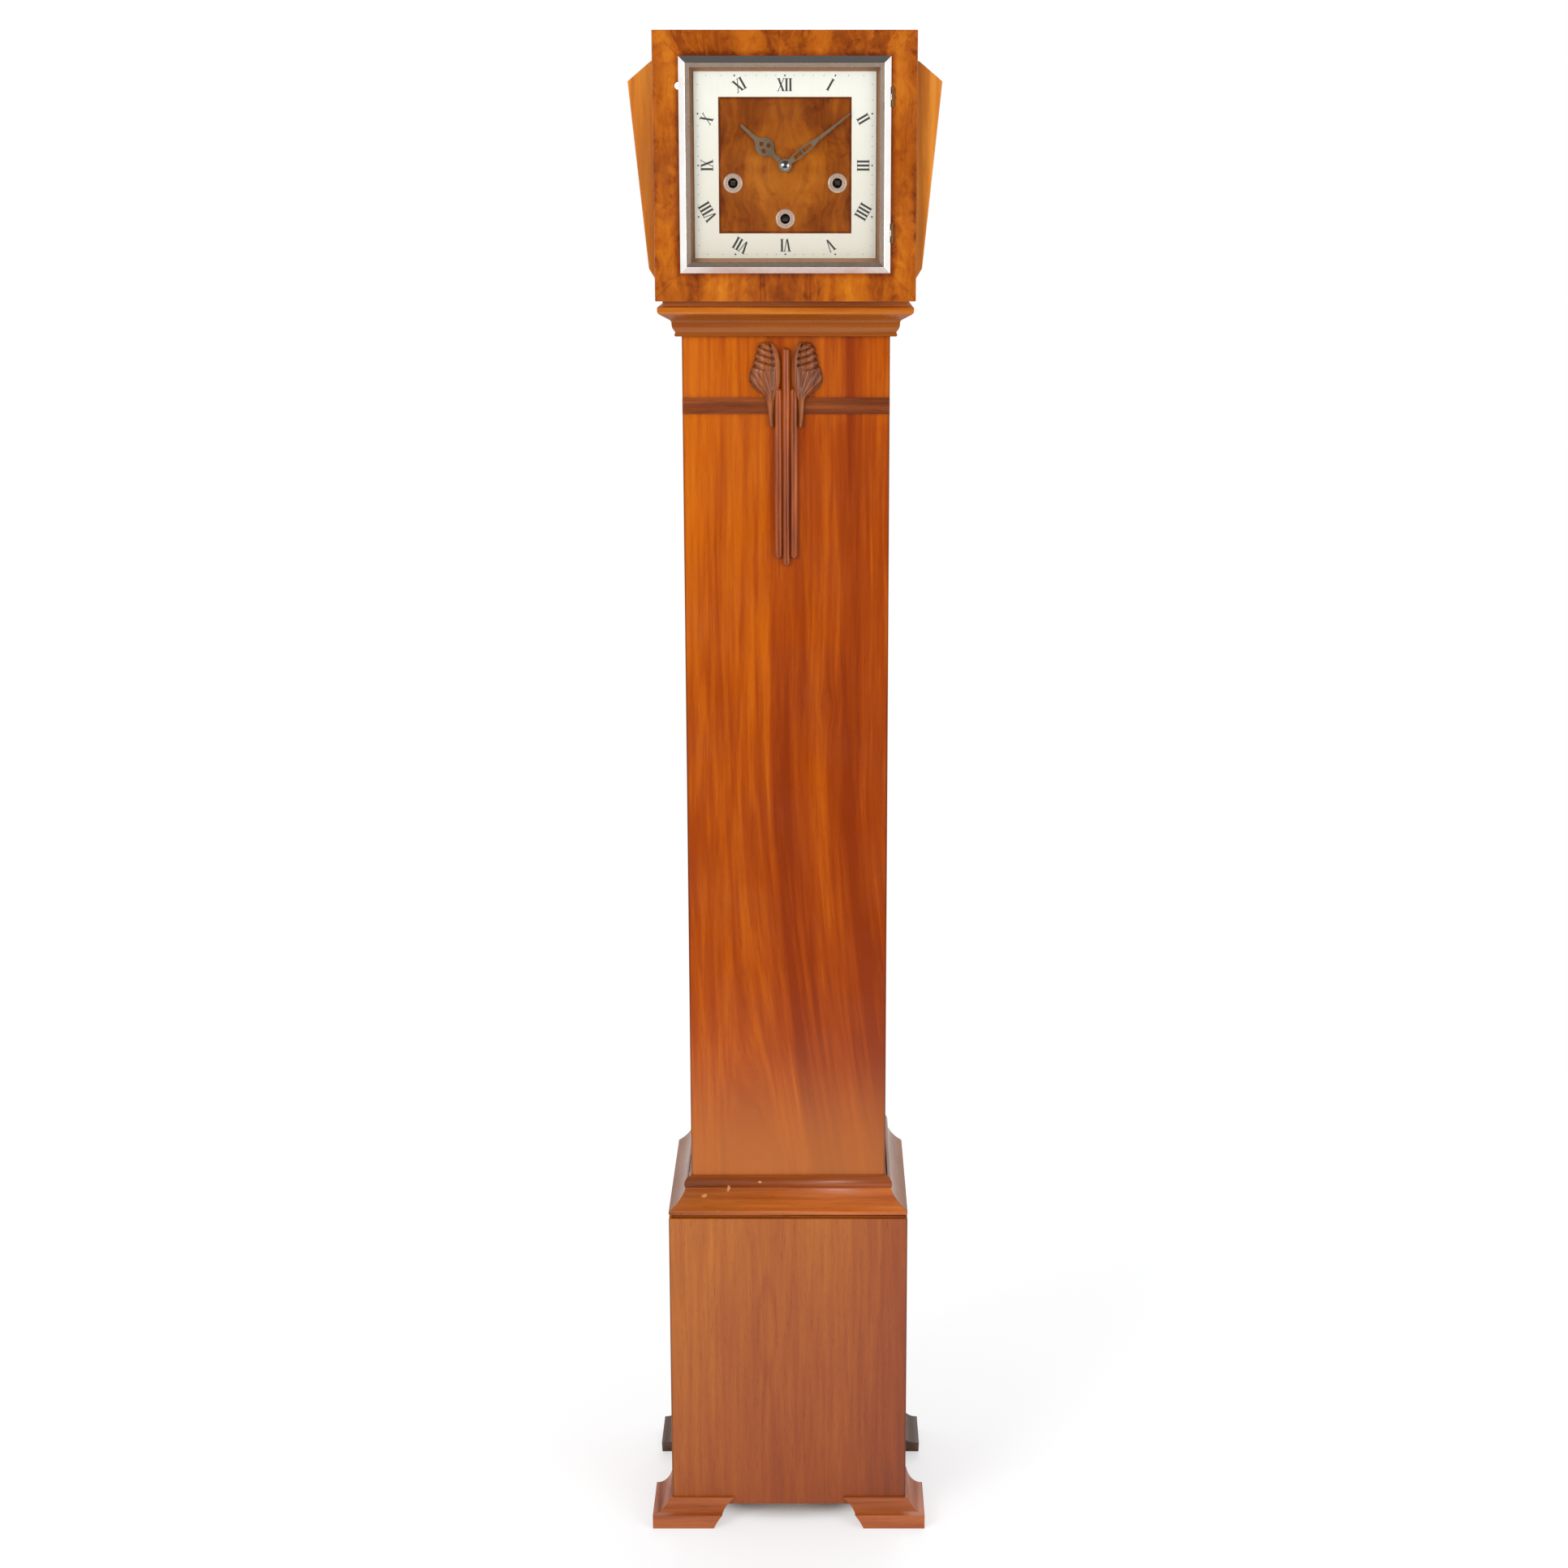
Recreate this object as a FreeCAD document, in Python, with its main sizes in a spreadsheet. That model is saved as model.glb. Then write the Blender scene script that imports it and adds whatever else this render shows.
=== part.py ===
# Grandmother clock in walnut, about 1515 mm tall, with a chiming spring movement.
# Millimetres. +Z is up and the dial faces -Y. The origin is on the floor, under the middle of the
# box that holds the clock. Heights are built up from the floor, and depths from the trunk's front.

import FreeCAD
import Part
import Sketcher

import math
import operator
import os
from types import SimpleNamespace

from FreeCAD import Placement, Rotation, Vector

# Driving sizes, one table for each group of pieces
caseSizes = {
    "trunkWidth": 200.0,        # across the trunk's front
    "trunkDepth": 184.4,        # trunk's front to the back of the case
    "trunkShown": 855.7,        # trunk between its two mouldings
    "board": 12.0,              # panels of the case
    "backBoard": 6.0,           # thin panels at the back
    "backInset": 4.0,           # back panels lie this far inside the sides' rear edges
    "jointGap": 0.3,            # clearance beside anything that moves
    "overrun": 5.0,             # cutting tools pass their work by this much
}
plinthSizes = {
    "plinthLift": 17.9,         # floor to the plinth's lower edge
    "plinthHeight": 321.2,
    "plinthProud": 22.8,        # plinth's faces ahead of the trunk's
    "footProud": 19.8,          # feet ahead of the plinth
    "footHeight": 26.4,
    "footStep": 15.0,           # height of a foot's square lower edge
    "footLip": 3.0,             # top edge of a foot, ahead of the plinth
    "footCove": 16.0,           # radius of the hollow on top of a foot
    "footBack": 12.0,           # a foot reaches this far behind the plinth's face
    "footTopReach": 85.5,       # outer corner to the inner end, at the top
    "footLowReach": 64.1,       # the same, on the floor
    "footCurve": 60.0,          # radius of the bracket's hollow end
    "rearFootReach": 56.0,      # rear feet, front to back on the floor
}
mouldingSizes = {
    "shadowGap": 4.4,           # dark line between plinth and shoulder
    "shadowInset": 2.8,
    "shoulderHeight": 34.5,
    "shoulderEdge": 3.5,        # square lower edge of the shoulder
    "shoulderLip": 6.0,         # lip under the top, ahead of the trunk
    "shoulderLipDrop": 12.0,
    "shoulderTop": 3.0,         # top edge, ahead of the trunk
    "shoulderBead": 9.0,        # radius of the bead over the lip
    "shoulderCove": 34.0,       # radius of the long hollow
    "corniceHeight": 28.7,
    "corniceFoot": 5.0,         # cornice's lowest edge, ahead of the trunk
    "corniceStep": 6.0,
    "corniceNeck": 7.9,
    "corniceProud": 22.0,
    "corniceStepRise": 8.6,
    "corniceNeckRise": 14.4,
    "corniceEdge": 5.3,         # square top edge
    "corniceCove": 14.0,        # radius of its hollow
    "revealHeight": 5.4,        # dark groove under the head
    "revealProud": 17.0,
    "bandDrop": 58.4,           # cornice down to the dark band
    "bandHeight": 15.6,
    "bandProud": 2.0,
}
ornamentSizes = {
    "leafRise": 53.3,           # band's upper edge to the top of a leaf
    "leafDrop": 28.0,           # and down to the foot of its stem
    "leafReach": 33.2,          # end of the leaf's lower curve, from the clock's centre line
    "leafWidestRise": 15.5,
    "leafTopReach": 20.5,
    "leafInnerReach": 12.0,     # inner corner of a leaf's top
    "leafShoulderRise": 50.2,
    "leafLowCurve": 16.0,       # radii round a leaf, from its waist up
    "leafHighCurve": 30.0,
    "leafTopCurve": 8.0,
    "leafStemReach": 15.5,
    "leafWaistDrop": 6.3,
    "leafWaistReach": 18.0,
    "leafProud": 9.0,
    "reedWidth": 7.3,
    "reedPitch": 7.5,
    "reedRise": 9.3,
    "reedDrop": 156.0,
    "centreReedRise": 48.0,
    "centreReedDrop": 163.2,
    "reedProud": 5.5,
}
headSizes = {
    "headOverhang": 23.4,       # head's side beyond the trunk's
    "headHeight": 247.5,
    "headProud": 27.6,          # head's front ahead of the trunk's
    "frontBoard": 14.0,
    "openingSize": 180.0,       # square opening for the dial
    "dialRise": 125.2,          # head's lower edge up to the hands' centre
    "wingThick": 22.0,
    "wingSetback": 12.0,        # wings behind the head's front
    "wingReach": 23.6,          # widest point beyond the head's side
    "wingTipRise": 201.7,
    "wingTopRise": 220.1,
    "wingTopReach": 1.6,
    "wingHeelRise": 30.1,
    "wingHeelReach": 6.1,
    "wingEndRise": 20.0,
    "seatRise": 17.0,           # seat board's underside above the head's lower edge
    "seatOpeningWidth": 88.0,
    "seatOpeningFront": 52.0,   # opening's ends behind the trunk's front plane
    "seatOpeningBack": 118.0,
    "seatBackGap": 14.4,        # seat board's rear edge ahead of the back door
    "doorBoard": 8.0,
    "knobRadius": 7.0,
    "knobLength": 10.0,
    "doorInset": 12.0,          # back door's outer face inside the sides' rear edges
    "doorGap": 1.2,
    "doorPin": 1.5,             # radius of the pins it turns on
    "doorPinDepth": 10.0,
    "doorPivotInset": 10.0,
}
dialSizes = {
    "bezelSize": 198.0,
    "bezelProud": 7.8,          # ridge of the bezel ahead of the head's front
    "bezelEdge": 2.0,           # square outer edge
    "bezelRidge": 6.0,          # outer edge in to the ridge
    "bezelFlat": 0.6,
    "bezelOpening": 177.0,
    "bezelInnerLift": 4.2,      # inner edge ahead of the head's front
    "glassThick": 2.0,
    "glassLap": 2.0,            # glass behind the bezel's inner edge
    "glassLift": 1.6,           # glass ahead of the head's front
    "tabRadius": 3.4,
    "tabThick": 1.2,
    "tabRise": 72.0,            # thumb tab above the hands' centre
    "bezelKnuckle": 1.2,        # radius of the hinges' knuckles
    "bezelPin": 0.6,
    "bezelHingeRise": 62.0,     # hinges above and below the hands' centre
    "bezelHingeLength": 18.0,
    "tangThick": 1.4,           # tangs that hold the hinges in the head's front
    "tangDepth": 8.0,
    "dialSetback": 4.6,         # dial's face behind the head's front
    "dialPlateSize": 179.0,
    "dialPlateThick": 1.6,
    "ringSize": 170.6,
    "ringOpening": 124.5,
    "ringThick": 1.4,
    "centrePanelThick": 1.0,
    "windSpread": 49.0,         # outer winding holes from the centre line
    "windDrop": 16.1,           # and below the hands' centre
    "goingDrop": 48.8,          # middle winding hole below the hands' centre
    "colletRadius": 9.0,
    "colletHole": 4.6,
    "colletProud": 1.2,
    "handHole": 5.0,            # hole in the dial for the hour pipe
    "dialFootAcross": 72.0,     # feet that join the dial plate to the movement
    "dialFootUp": 70.0,
    "dialFootRadius": 2.5,
}
handSizes = {
    "minuteLength": 77.5,
    "hourLength": 55.7,
    "minuteAngle": 52.3,        # clockwise from twelve, degrees
    "hourAngle": -48.3,
    "handThick": 0.7,
    "hourLift": 1.5,            # hour hand ahead of the dial's face
    "minuteLift": 3.0,
    "nutRadius": 4.4,
    "nutThick": 1.6,
    "hubRadius": 6.2,
}
movementSizes = {
    "plateThick": 3.0,
    "plateFrontGap": 12.0,      # dial plate back to the front plate
    "plateSpacing": 52.0,
    "plateHalfWidth": 84.0,
    "plateRise": 90.0,          # plates above the hands' centre
    "plateDrop": 96.2,          # and below, down to the seat board
    "pillarRadius": 4.5,
    "pillarInset": 9.0,
    "pivotRadius": 1.2,
    "pivotGap": 0.05,
    "arborRadius": 2.2,
    "windArborRadius": 3.0,
    "windSquare": 4.6,
    "windSquareStart": 0.6,     # squares end this far behind the dial's face
    "barrelRadius": 25.5,
    "barrelLength": 22.0,
    "greatThick": 3.0,
    "wheelThick": 2.0,
    "pinionLength": 6.0,
    "endPlay": 0.5,
    "greatGap": 3.0,            # front plate back to the going barrel's wheel
    "wheelGap": 2.0,            # between neighbouring wheels along the arbors
    "closeGap": 1.0,            # the same, where there is less room
    "thirdRight": 18.0,         # third arbor from the hands' centre
    "thirdRise": 31.2,
    "escapeRise": 51.2,         # escape arbor over the hands' centre
    "palletRise": 73.2,
    "minuteWheelLeft": 14.4,
    "minuteWheelRise": 10.8,
    "cannonRadius": 3.0,
    "hourPipeRadius": 4.2,
    "strikeWheelRadius": 30.0,
    "studRadius": 1.5,
    "escapeRadius": 15.5,
    "escapeArborRadius": 1.6,
}
pendulumSizes = {
    "pendulumBehind": 8.0,      # pendulum's plane behind the back plate
    "pendulumLength": 250.0,    # pivot to the bob's middle
    "rodWidth": 5.0,
    "rodThick": 2.0,
    "bobRadius": 38.0,
    "bobThick": 16.0,
    "bobEdge": 2.0,
    "threadRadius": 1.5,
    "threadLength": 26.0,
    "ratingNutRadius": 6.0,
    "ratingNutLength": 6.0,
    "cockWidth": 26.0,
    "cockHeight": 14.0,
    "springWidth": 8.0,
    "springThick": 0.3,
    "springLength": 9.0,
    "crutchDrop": 46.0,
    "crutchWire": 1.5,
}
chimeSizes = {
    "hammerPivotBehind": 21.0,  # hammers' arbor behind the back plate
    "hammerPivotDrop": 82.0,    # and below the hands' centre
    "hammerArborRadius": 2.0,
    "hammerEarWidth": 4.0,
    "hammerEarHeight": 14.0,
    "hammerDrop": 40.0,         # arbor down to the middle of the heads
    "hammerRadius": 4.0,
    "hammerLength": 18.0,
    "hammerWire": 1.5,          # side of the square arms
    "hammerGap": 1.5,           # heads rest this far from the rods
    "rodsBehind": 61.0,         # chime rods behind the back plate
    "rodRadius": 2.0,
    "rodPitch": 10.0,
    "rodFirst": 16.0,           # nearest rods from the centre line
    "rodLength": 240.0,
    "rodStep": 18.0,            # each pair of rods is this much shorter
    "gongBlockWidth": 108.0,
    "gongBlockDepth": 16.0,
    "gongBlockHeight": 20.0,
}
doc = FreeCAD.newDocument("GrandmotherClock")
sheet = doc.addObject("Spreadsheet::Sheet", "Sizes")
allSizes = {}
for table in (caseSizes, plinthSizes, mouldingSizes, ornamentSizes, headSizes,
              dialSizes, handSizes, movementSizes, pendulumSizes, chimeSizes):
    allSizes.update(table)
for row, (word, amount) in enumerate(allSizes.items(), start=1):
    sheet.set(f"A{row}", word)
    sheet.set(f"B{row}", str(amount))
    sheet.setAlias(f"B{row}", word)
doc.recompute()


class Size:
    # A size with its present value and its formula in the sheet, so that sums of sizes stay bound
    def __init__(self, value, formula):
        self.value = value
        self.formula = formula

    def __add__(self, other):
        return combined(self, "+", other)

    def __radd__(self, other):
        return combined(other, "+", self)

    def __sub__(self, other):
        return combined(self, "-", other)

    def __rsub__(self, other):
        return combined(other, "-", self)

    def __mul__(self, other):
        return combined(self, "*", other)

    def __rmul__(self, other):
        return combined(other, "*", self)

    def __truediv__(self, other):
        return combined(self, "/", other)

    def __neg__(self):
        return combined(0, "-", self)

    def __float__(self):
        return self.value


actions = {"+": operator.add, "-": operator.sub, "*": operator.mul, "/": operator.truediv}


def asSize(item):
    if isinstance(item, Size):
        return item
    return Size(float(item), repr(item))


def combined(first, sign, second):
    first = asSize(first)
    second = asSize(second)
    value = actions[sign](first.value, second.value)
    return Size(value, f"({first.formula} {sign} {second.formula})")


d = SimpleNamespace(**{word: Size(float(sheet.get(word)), f"Sizes.{word}") for word in allSizes})

# Levels, from the floor up
plinthTop = d.plinthLift + d.plinthHeight
shoulderLow = plinthTop + d.shadowGap
shoulderHigh = shoulderLow + d.shoulderHeight
corniceLow = shoulderHigh + d.trunkShown
corniceHigh = corniceLow + d.corniceHeight
headLow = corniceHigh + d.revealHeight
headHigh = headLow + d.headHeight
dialHigh = headLow + d.dialRise
seatLow = headLow + d.seatRise
seatHigh = seatLow + d.board
bandHigh = corniceLow - d.bandDrop

# Depths, front to back, with the origin in the middle
caseBack = (d.trunkDepth + d.plinthProud + d.footProud) / 2
trunkFront = caseBack - d.trunkDepth
plinthFront = trunkFront - d.plinthProud
headFront = trunkFront - d.headProud
dialFace = headFront + d.dialSetback
dialPlateFront = dialFace + d.ringThick
dialPlateBack = dialPlateFront + d.dialPlateThick
frontPlateFront = dialPlateBack + d.plateFrontGap
frontPlateBack = frontPlateFront + d.plateThick
backPlateFront = frontPlateBack + d.plateSpacing
backPlateBack = backPlateFront + d.plateThick
panelBack = caseBack - d.backInset
panelFront = panelBack - d.backBoard
doorBack = caseBack - d.doorInset
doorFront = doorBack - d.doorBoard

# Half widths
trunkSide = d.trunkWidth / 2
trunkInside = trunkSide - d.board
plinthSide = trunkSide + d.plinthProud
plinthInside = plinthSide - d.board
footSide = plinthSide + d.footProud
headSide = trunkSide + d.headOverhang
headInside = headSide - d.board

parts = {}
counter = {"made": 0}


def newName(kind):
    # Inner objects only need a name that no other has
    counter["made"] += 1
    return f"{kind}{counter['made']}"


def keep(name, item):
    item.Label = name
    parts[name] = item
    return item


def bind(item, path, size):
    item.setExpression(path, asSize(size).formula)


def place(item, x, y, z):
    bind(item, "Placement.Base.x", x)
    bind(item, "Placement.Base.y", y)
    bind(item, "Placement.Base.z", z)


def block(low, high):
    # A board between its lowest and its highest corner
    item = doc.addObject("Part::Box", newName("Board"))
    bind(item, "Length", asSize(high[0]) - low[0])
    bind(item, "Width", asSize(high[1]) - low[1])
    bind(item, "Height", asSize(high[2]) - low[2])
    place(item, *low)
    return item


turns = {
    "x": Rotation(Vector(0, 1, 0), 90),
    "y": Rotation(Vector(1, 0, 0), -90),
    "z": Rotation(),
}


def rod(axis, start, radius, length):
    # A round bar from the middle of its low end
    item = doc.addObject("Part::Cylinder", newName("Rod"))
    item.Placement = Placement(Vector(), turns[axis])
    bind(item, "Radius", radius)
    bind(item, "Height", length)
    place(item, *start)
    return item


def ball(centre, radius):
    item = doc.addObject("Part::Sphere", newName("Ball"))
    bind(item, "Radius", radius)
    place(item, *centre)
    return item


def fused(items):
    whole = doc.addObject("Part::MultiFuse", newName("Joined"))
    whole.Shapes = items
    return whole


def common(items):
    whole = doc.addObject("Part::MultiCommon", newName("Shared"))
    whole.Shapes = items
    return whole


def cut(base, tools):
    result = doc.addObject("Part::Cut", newName("Cut"))
    result.Base = base
    result.Tool = tools[0] if len(tools) == 1 else fused(tools)
    return result


def group(items):
    # Separate solids that share one node
    whole = doc.addObject("Part::Compound", newName("Group"))
    whole.Links = items
    return whole


def mirrored(item):
    # The same piece on the clock's other side
    other = doc.addObject("Part::Mirroring", newName("Mirror"))
    other.Source = item
    other.Normal = Vector(1, 0, 0)
    other.Base = Vector(0, 0, 0)
    return other


def arcBetween(start, end, radius, turn):
    # The shorter arc from start to end; turn is 1 for anticlockwise and -1 for clockwise
    chord = end - start
    half = chord.Length / 2
    across = Vector(-chord.y, chord.x, 0).normalize() * turn
    centre = (start + end) / 2 + across * math.sqrt(max(radius * radius - half * half, 0))
    startAngle = math.atan2(start.y - centre.y, start.x - centre.x)
    endAngle = math.atan2(end.y - centre.y, end.x - centre.x)
    low, high = (startAngle, endAngle) if turn > 0 else (endAngle, startAngle)
    if high < low:
        high += 2 * math.pi
    return Part.ArcOfCircle(Part.Circle(centre, Vector(0, 0, 1), radius), low, high)


def outlineSketch(body, plane, offset, corners, holes):
    # Corners are (across, up), or (across, up, radius, turn) where an arc arrives at them
    sketch = body.newObject("Sketcher::SketchObject", newName("Outline"))
    support = [item for item in body.Origin.OriginFeatures if item.Role == plane][0]
    sketch.AttachmentSupport = (support, "")
    sketch.MapMode = "FlatFace"
    bind(sketch, "AttachmentOffset.Base.z", offset)
    ends = []
    for index, corner in enumerate(corners):
        before = corners[index - 1]
        start = Vector(float(before[0]), float(before[1]), 0)
        end = Vector(float(corner[0]), float(corner[1]), 0)
        if len(corner) == 2:
            sketch.addGeometry(Part.LineSegment(start, end), False)
            ends.append((1, 2))
        else:
            radius, turn = corner[2], corner[3]
            sketch.addGeometry(arcBetween(start, end, float(radius), turn), False)
            ends.append((1, 2) if turn > 0 else (2, 1))
            number = sketch.addConstraint(Sketcher.Constraint("Radius", index, float(radius)))
            bind(sketch, f"Constraints[{number}]", radius)
        for kind, amount in (("DistanceX", corner[0]), ("DistanceY", corner[1])):
            pin = Sketcher.Constraint(kind, -1, 1, index, ends[index][1], float(amount))
            number = sketch.addConstraint(pin)
            bind(sketch, f"Constraints[{number}]", amount)
    for index in range(len(corners)):
        joint = Sketcher.Constraint("Coincident", index - 1 if index else len(corners) - 1,
                                    ends[index - 1][1], index, ends[index][0])
        sketch.addConstraint(joint)
    for across, up, radius in holes:
        centre = Vector(float(across), float(up), 0)
        index = sketch.addGeometry(Part.Circle(centre, Vector(0, 0, 1), float(radius)), False)
        for kind, amount in (("DistanceX", across), ("DistanceY", up)):
            pin = Sketcher.Constraint(kind, -1, 1, index, 3, float(amount))
            number = sketch.addConstraint(pin)
            bind(sketch, f"Constraints[{number}]", amount)
        number = sketch.addConstraint(Sketcher.Constraint("Radius", index, float(radius)))
        bind(sketch, f"Constraints[{number}]", radius)
    return sketch


def slab(plane, low, high, corners, holes=()):
    # A body with one outline, from low to high along the direction that its plane faces
    body = doc.addObject("PartDesign::Body", newName("Piece"))
    offset = -asSize(high) if plane == "XZ_Plane" else low
    sketch = outlineSketch(body, plane, offset, corners, holes)
    pad = body.newObject("PartDesign::Pad", newName("Pad"))
    pad.Profile = sketch
    bind(pad, "Length", asSize(high) - low)
    body.Tip = pad
    sketch.Visibility = False
    return body


def turnedBody(axisX, axisY, outline):
    # A body turned about a line along Y; outline is (radius, depth)
    body = doc.addObject("PartDesign::Body", newName("Turned"))
    sketch = outlineSketch(body, "XY_Plane", 0, outline, [])
    whole = body.newObject("PartDesign::Revolution", newName("Turning"))
    whole.Profile = sketch
    whole.ReferenceAxis = (sketch, ["V_Axis"])
    whole.Angle = 360
    body.Tip = whole
    place(body, axisX, 0, axisY)
    return body


def rectangle(left, right, low, high):
    return [(left, low), (right, low), (right, high), (left, high)]


def outwards(profile, base, direction):
    # A moulding's profile, given as (outwards, up), laid beside a face of the case
    corners = []
    for corner in profile:
        arc = tuple(corner[2:])
        if arc and direction < 0:
            arc = (arc[0], -arc[1])
        corners.append((base + direction * corner[0], corner[1]) + arc)
    return corners


def frontRun(half, face, profile, inner, outer, low, high):
    # The front length of a moulding, mitred at both ends
    reach = outer + d.overrun
    run = slab("YZ_Plane", -(half + reach), half + reach, outwards(profile, face, -1))
    plan = [(-(half - inner), face + inner), (-(half + reach), face - reach),
            (half + reach, face - reach), (half - inner, face + inner)]
    return common([run, slab("XY_Plane", low - d.overrun, high + d.overrun, plan)])


def sideRun(half, face, profile, inner, outer, low, high):
    # The right-hand length, mitred at the front and square at the back
    reach = outer + d.overrun
    run = slab("XZ_Plane", face - reach, caseBack, outwards(profile, half, 1))
    back = caseBack + d.overrun
    plan = [(half - inner, face + inner), (half + reach, face - reach),
            (half + reach, back), (half - inner, back)]
    return common([run, slab("XY_Plane", low - d.overrun, high + d.overrun, plan)])


def trunk():
    keep("trunk_front", block((-trunkSide, trunkFront, plinthTop),
                              (trunkSide, trunkFront + d.board, corniceHigh)))
    side = block((trunkInside, trunkFront + d.board, plinthTop), (trunkSide, caseBack, corniceHigh))
    keep("trunk_side_right", side)
    keep("trunk_side_left", mirrored(side))
    keep("trunk_back", block((-trunkInside, panelFront, plinthTop),
                             (trunkInside, panelBack, corniceHigh)))


def plinth():
    keep("plinth_front", block((-plinthSide, plinthFront, d.plinthLift),
                               (plinthSide, plinthFront + d.board, plinthTop)))
    side = block((plinthInside, plinthFront + d.board, d.plinthLift),
                 (plinthSide, caseBack, plinthTop))
    keep("plinth_side_right", side)
    keep("plinth_side_left", mirrored(side))
    keep("plinth_back", block((-plinthInside, panelFront, d.plinthLift),
                              (plinthInside, panelBack, plinthTop)))
    keep("base_board", block((-plinthInside, plinthFront + d.board, d.plinthLift),
                             (plinthInside, panelFront, d.plinthLift + d.board)))


def feet():
    profile = [
        (asSize(0), d.footHeight),
        (d.footLip, d.footHeight),
        (d.footProud, d.footStep, d.footCove, 1),
        (d.footProud, asSize(0)),
        (-d.footBack, asSize(0)),
        (-d.footBack, d.plinthLift),
        (asSize(0), d.plinthLift),
    ]
    floor = asSize(0)
    below = -d.overrun
    above = d.footHeight + d.overrun
    flare = d.footTopReach - d.footLowReach
    footFront = plinthFront - d.footProud

    outer = footSide + d.overrun
    frontOutline = [
        (outer, below), (outer, above), (footSide - d.footTopReach, above),
        (footSide - d.footTopReach, d.footHeight),
        (footSide - d.footLowReach, floor, d.footCurve, -1),
        (footSide - d.footLowReach, below),
    ]
    frontArm = common([
        frontRun(plinthSide, plinthFront, profile, d.footBack, d.footProud, floor, d.footHeight),
        slab("XZ_Plane", footFront - d.overrun, plinthFront + d.footBack + d.overrun, frontOutline),
    ])
    outer = footFront - d.overrun
    sideOutline = [
        (outer, below), (footFront + d.footLowReach, below), (footFront + d.footLowReach, floor),
        (footFront + d.footTopReach, d.footHeight, d.footCurve, -1),
        (footFront + d.footTopReach, above), (outer, above),
    ]
    sideArm = common([
        sideRun(plinthSide, plinthFront, profile, d.footBack, d.footProud, floor, d.footHeight),
        slab("YZ_Plane", plinthSide - d.footBack - d.overrun, footSide + d.overrun, sideOutline),
    ])
    front = fused([frontArm, sideArm])
    keep("foot_front_right", front)
    keep("foot_front_left", mirrored(front))

    rearLow = caseBack - d.rearFootReach
    outer = caseBack + d.overrun
    rearOutline = [
        (outer, below), (outer, above), (rearLow - flare, above),
        (rearLow - flare, d.footHeight), (rearLow, floor, d.footCurve, -1), (rearLow, below),
    ]
    rear = common([
        slab("XZ_Plane", rearLow - flare, caseBack, outwards(profile, plinthSide, 1)),
        slab("YZ_Plane", plinthSide - d.footBack - d.overrun, footSide + d.overrun, rearOutline),
    ])
    keep("rear_feet", group([rear, mirrored(rear)]))


def mouldings():
    shoulder = [
        (asSize(0), shoulderHigh),
        (d.shoulderTop, shoulderHigh),
        (d.shoulderLip, shoulderHigh - d.shoulderLipDrop, d.shoulderBead, -1),
        (d.plinthProud, shoulderLow + d.shoulderEdge, d.shoulderCove, 1),
        (d.plinthProud, shoulderLow),
        (d.plinthProud - d.shadowInset, shoulderLow),
        (d.plinthProud - d.shadowInset, plinthTop),
        (asSize(0), plinthTop),
    ]
    cornice = [
        (asSize(0), corniceLow),
        (d.corniceFoot, corniceLow),
        (d.corniceStep, corniceLow + d.corniceStepRise),
        (d.corniceNeck, corniceLow + d.corniceNeckRise),
        (d.corniceProud, corniceHigh - d.corniceEdge, d.corniceCove, -1),
        (d.corniceProud, corniceHigh),
        (asSize(0), corniceHigh),
    ]
    nothing = asSize(0)
    for name, profile, proud, low, high in (
        ("shoulder", shoulder, d.plinthProud, plinthTop, shoulderHigh),
        ("cornice", cornice, d.corniceProud, corniceLow, corniceHigh),
    ):
        front = frontRun(trunkSide, trunkFront, profile, nothing, proud, low, high)
        side = sideRun(trunkSide, trunkFront, profile, nothing, proud, low, high)
        keep(f"{name}_moulding", group([front, side, mirrored(side)]))

    outer = trunkSide + d.revealProud
    ring = block((-outer, trunkFront - d.revealProud, corniceHigh), (outer, caseBack, headLow))
    opening = block((-trunkInside, trunkFront + d.board, corniceHigh - d.overrun),
                    (trunkInside, doorFront - d.backBoard, headLow + d.overrun))
    keep("reveal_fillet", cut(ring, [opening]))


def ornament():
    front = trunkFront - d.bandProud
    band = block((-trunkSide, front, bandHigh - d.bandHeight), (trunkSide, trunkFront, bandHigh))
    keep("trunk_band", band)

    inner = d.reedPitch + d.reedWidth / 2 + d.jointGap
    split = d.reedWidth / 2 + d.jointGap * 2
    leafOutline = [
        (inner, bandHigh - d.leafDrop),
        (d.leafStemReach, bandHigh - d.leafDrop),
        (d.leafWaistReach, bandHigh - d.leafWaistDrop),
        (d.leafReach, bandHigh + d.leafWidestRise, d.leafLowCurve, 1),
        (d.leafTopReach, bandHigh + d.leafRise, d.leafHighCurve, 1),
        (d.leafInnerReach, bandHigh + d.leafShoulderRise, d.leafTopCurve, 1),
        (split, bandHigh + d.reedRise * 2),
        (split, bandHigh + d.reedRise + d.jointGap),
        (inner, bandHigh + d.reedRise + d.jointGap),
    ]
    leaf = cut(slab("XZ_Plane", trunkFront - d.leafProud, trunkFront, leafOutline), [band])
    keep("carved_leaves", group([leaf, mirrored(leaf)]))

    half = d.reedWidth / 2
    depth = trunkFront - d.reedProud + half
    reeds = []
    for across, low, high in (
        (-d.reedPitch, bandHigh - d.reedDrop, bandHigh + d.reedRise),
        (asSize(0), bandHigh - d.centreReedDrop, bandHigh + d.centreReedRise),
        (d.reedPitch, bandHigh - d.reedDrop, bandHigh + d.reedRise),
    ):
        bar = fused([
            rod("z", (across, depth, low + half), half, high - low - d.reedWidth),
            ball((across, depth, low + half), half),
            ball((across, depth, high - half), half),
        ])
        behind = block((across - d.reedWidth, trunkFront, low - half),
                       (across + d.reedWidth, trunkFront + d.reedWidth, high + half))
        reeds.append(cut(bar, [behind, band]))
    keep("ornament_reeds", group(reeds))


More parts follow.
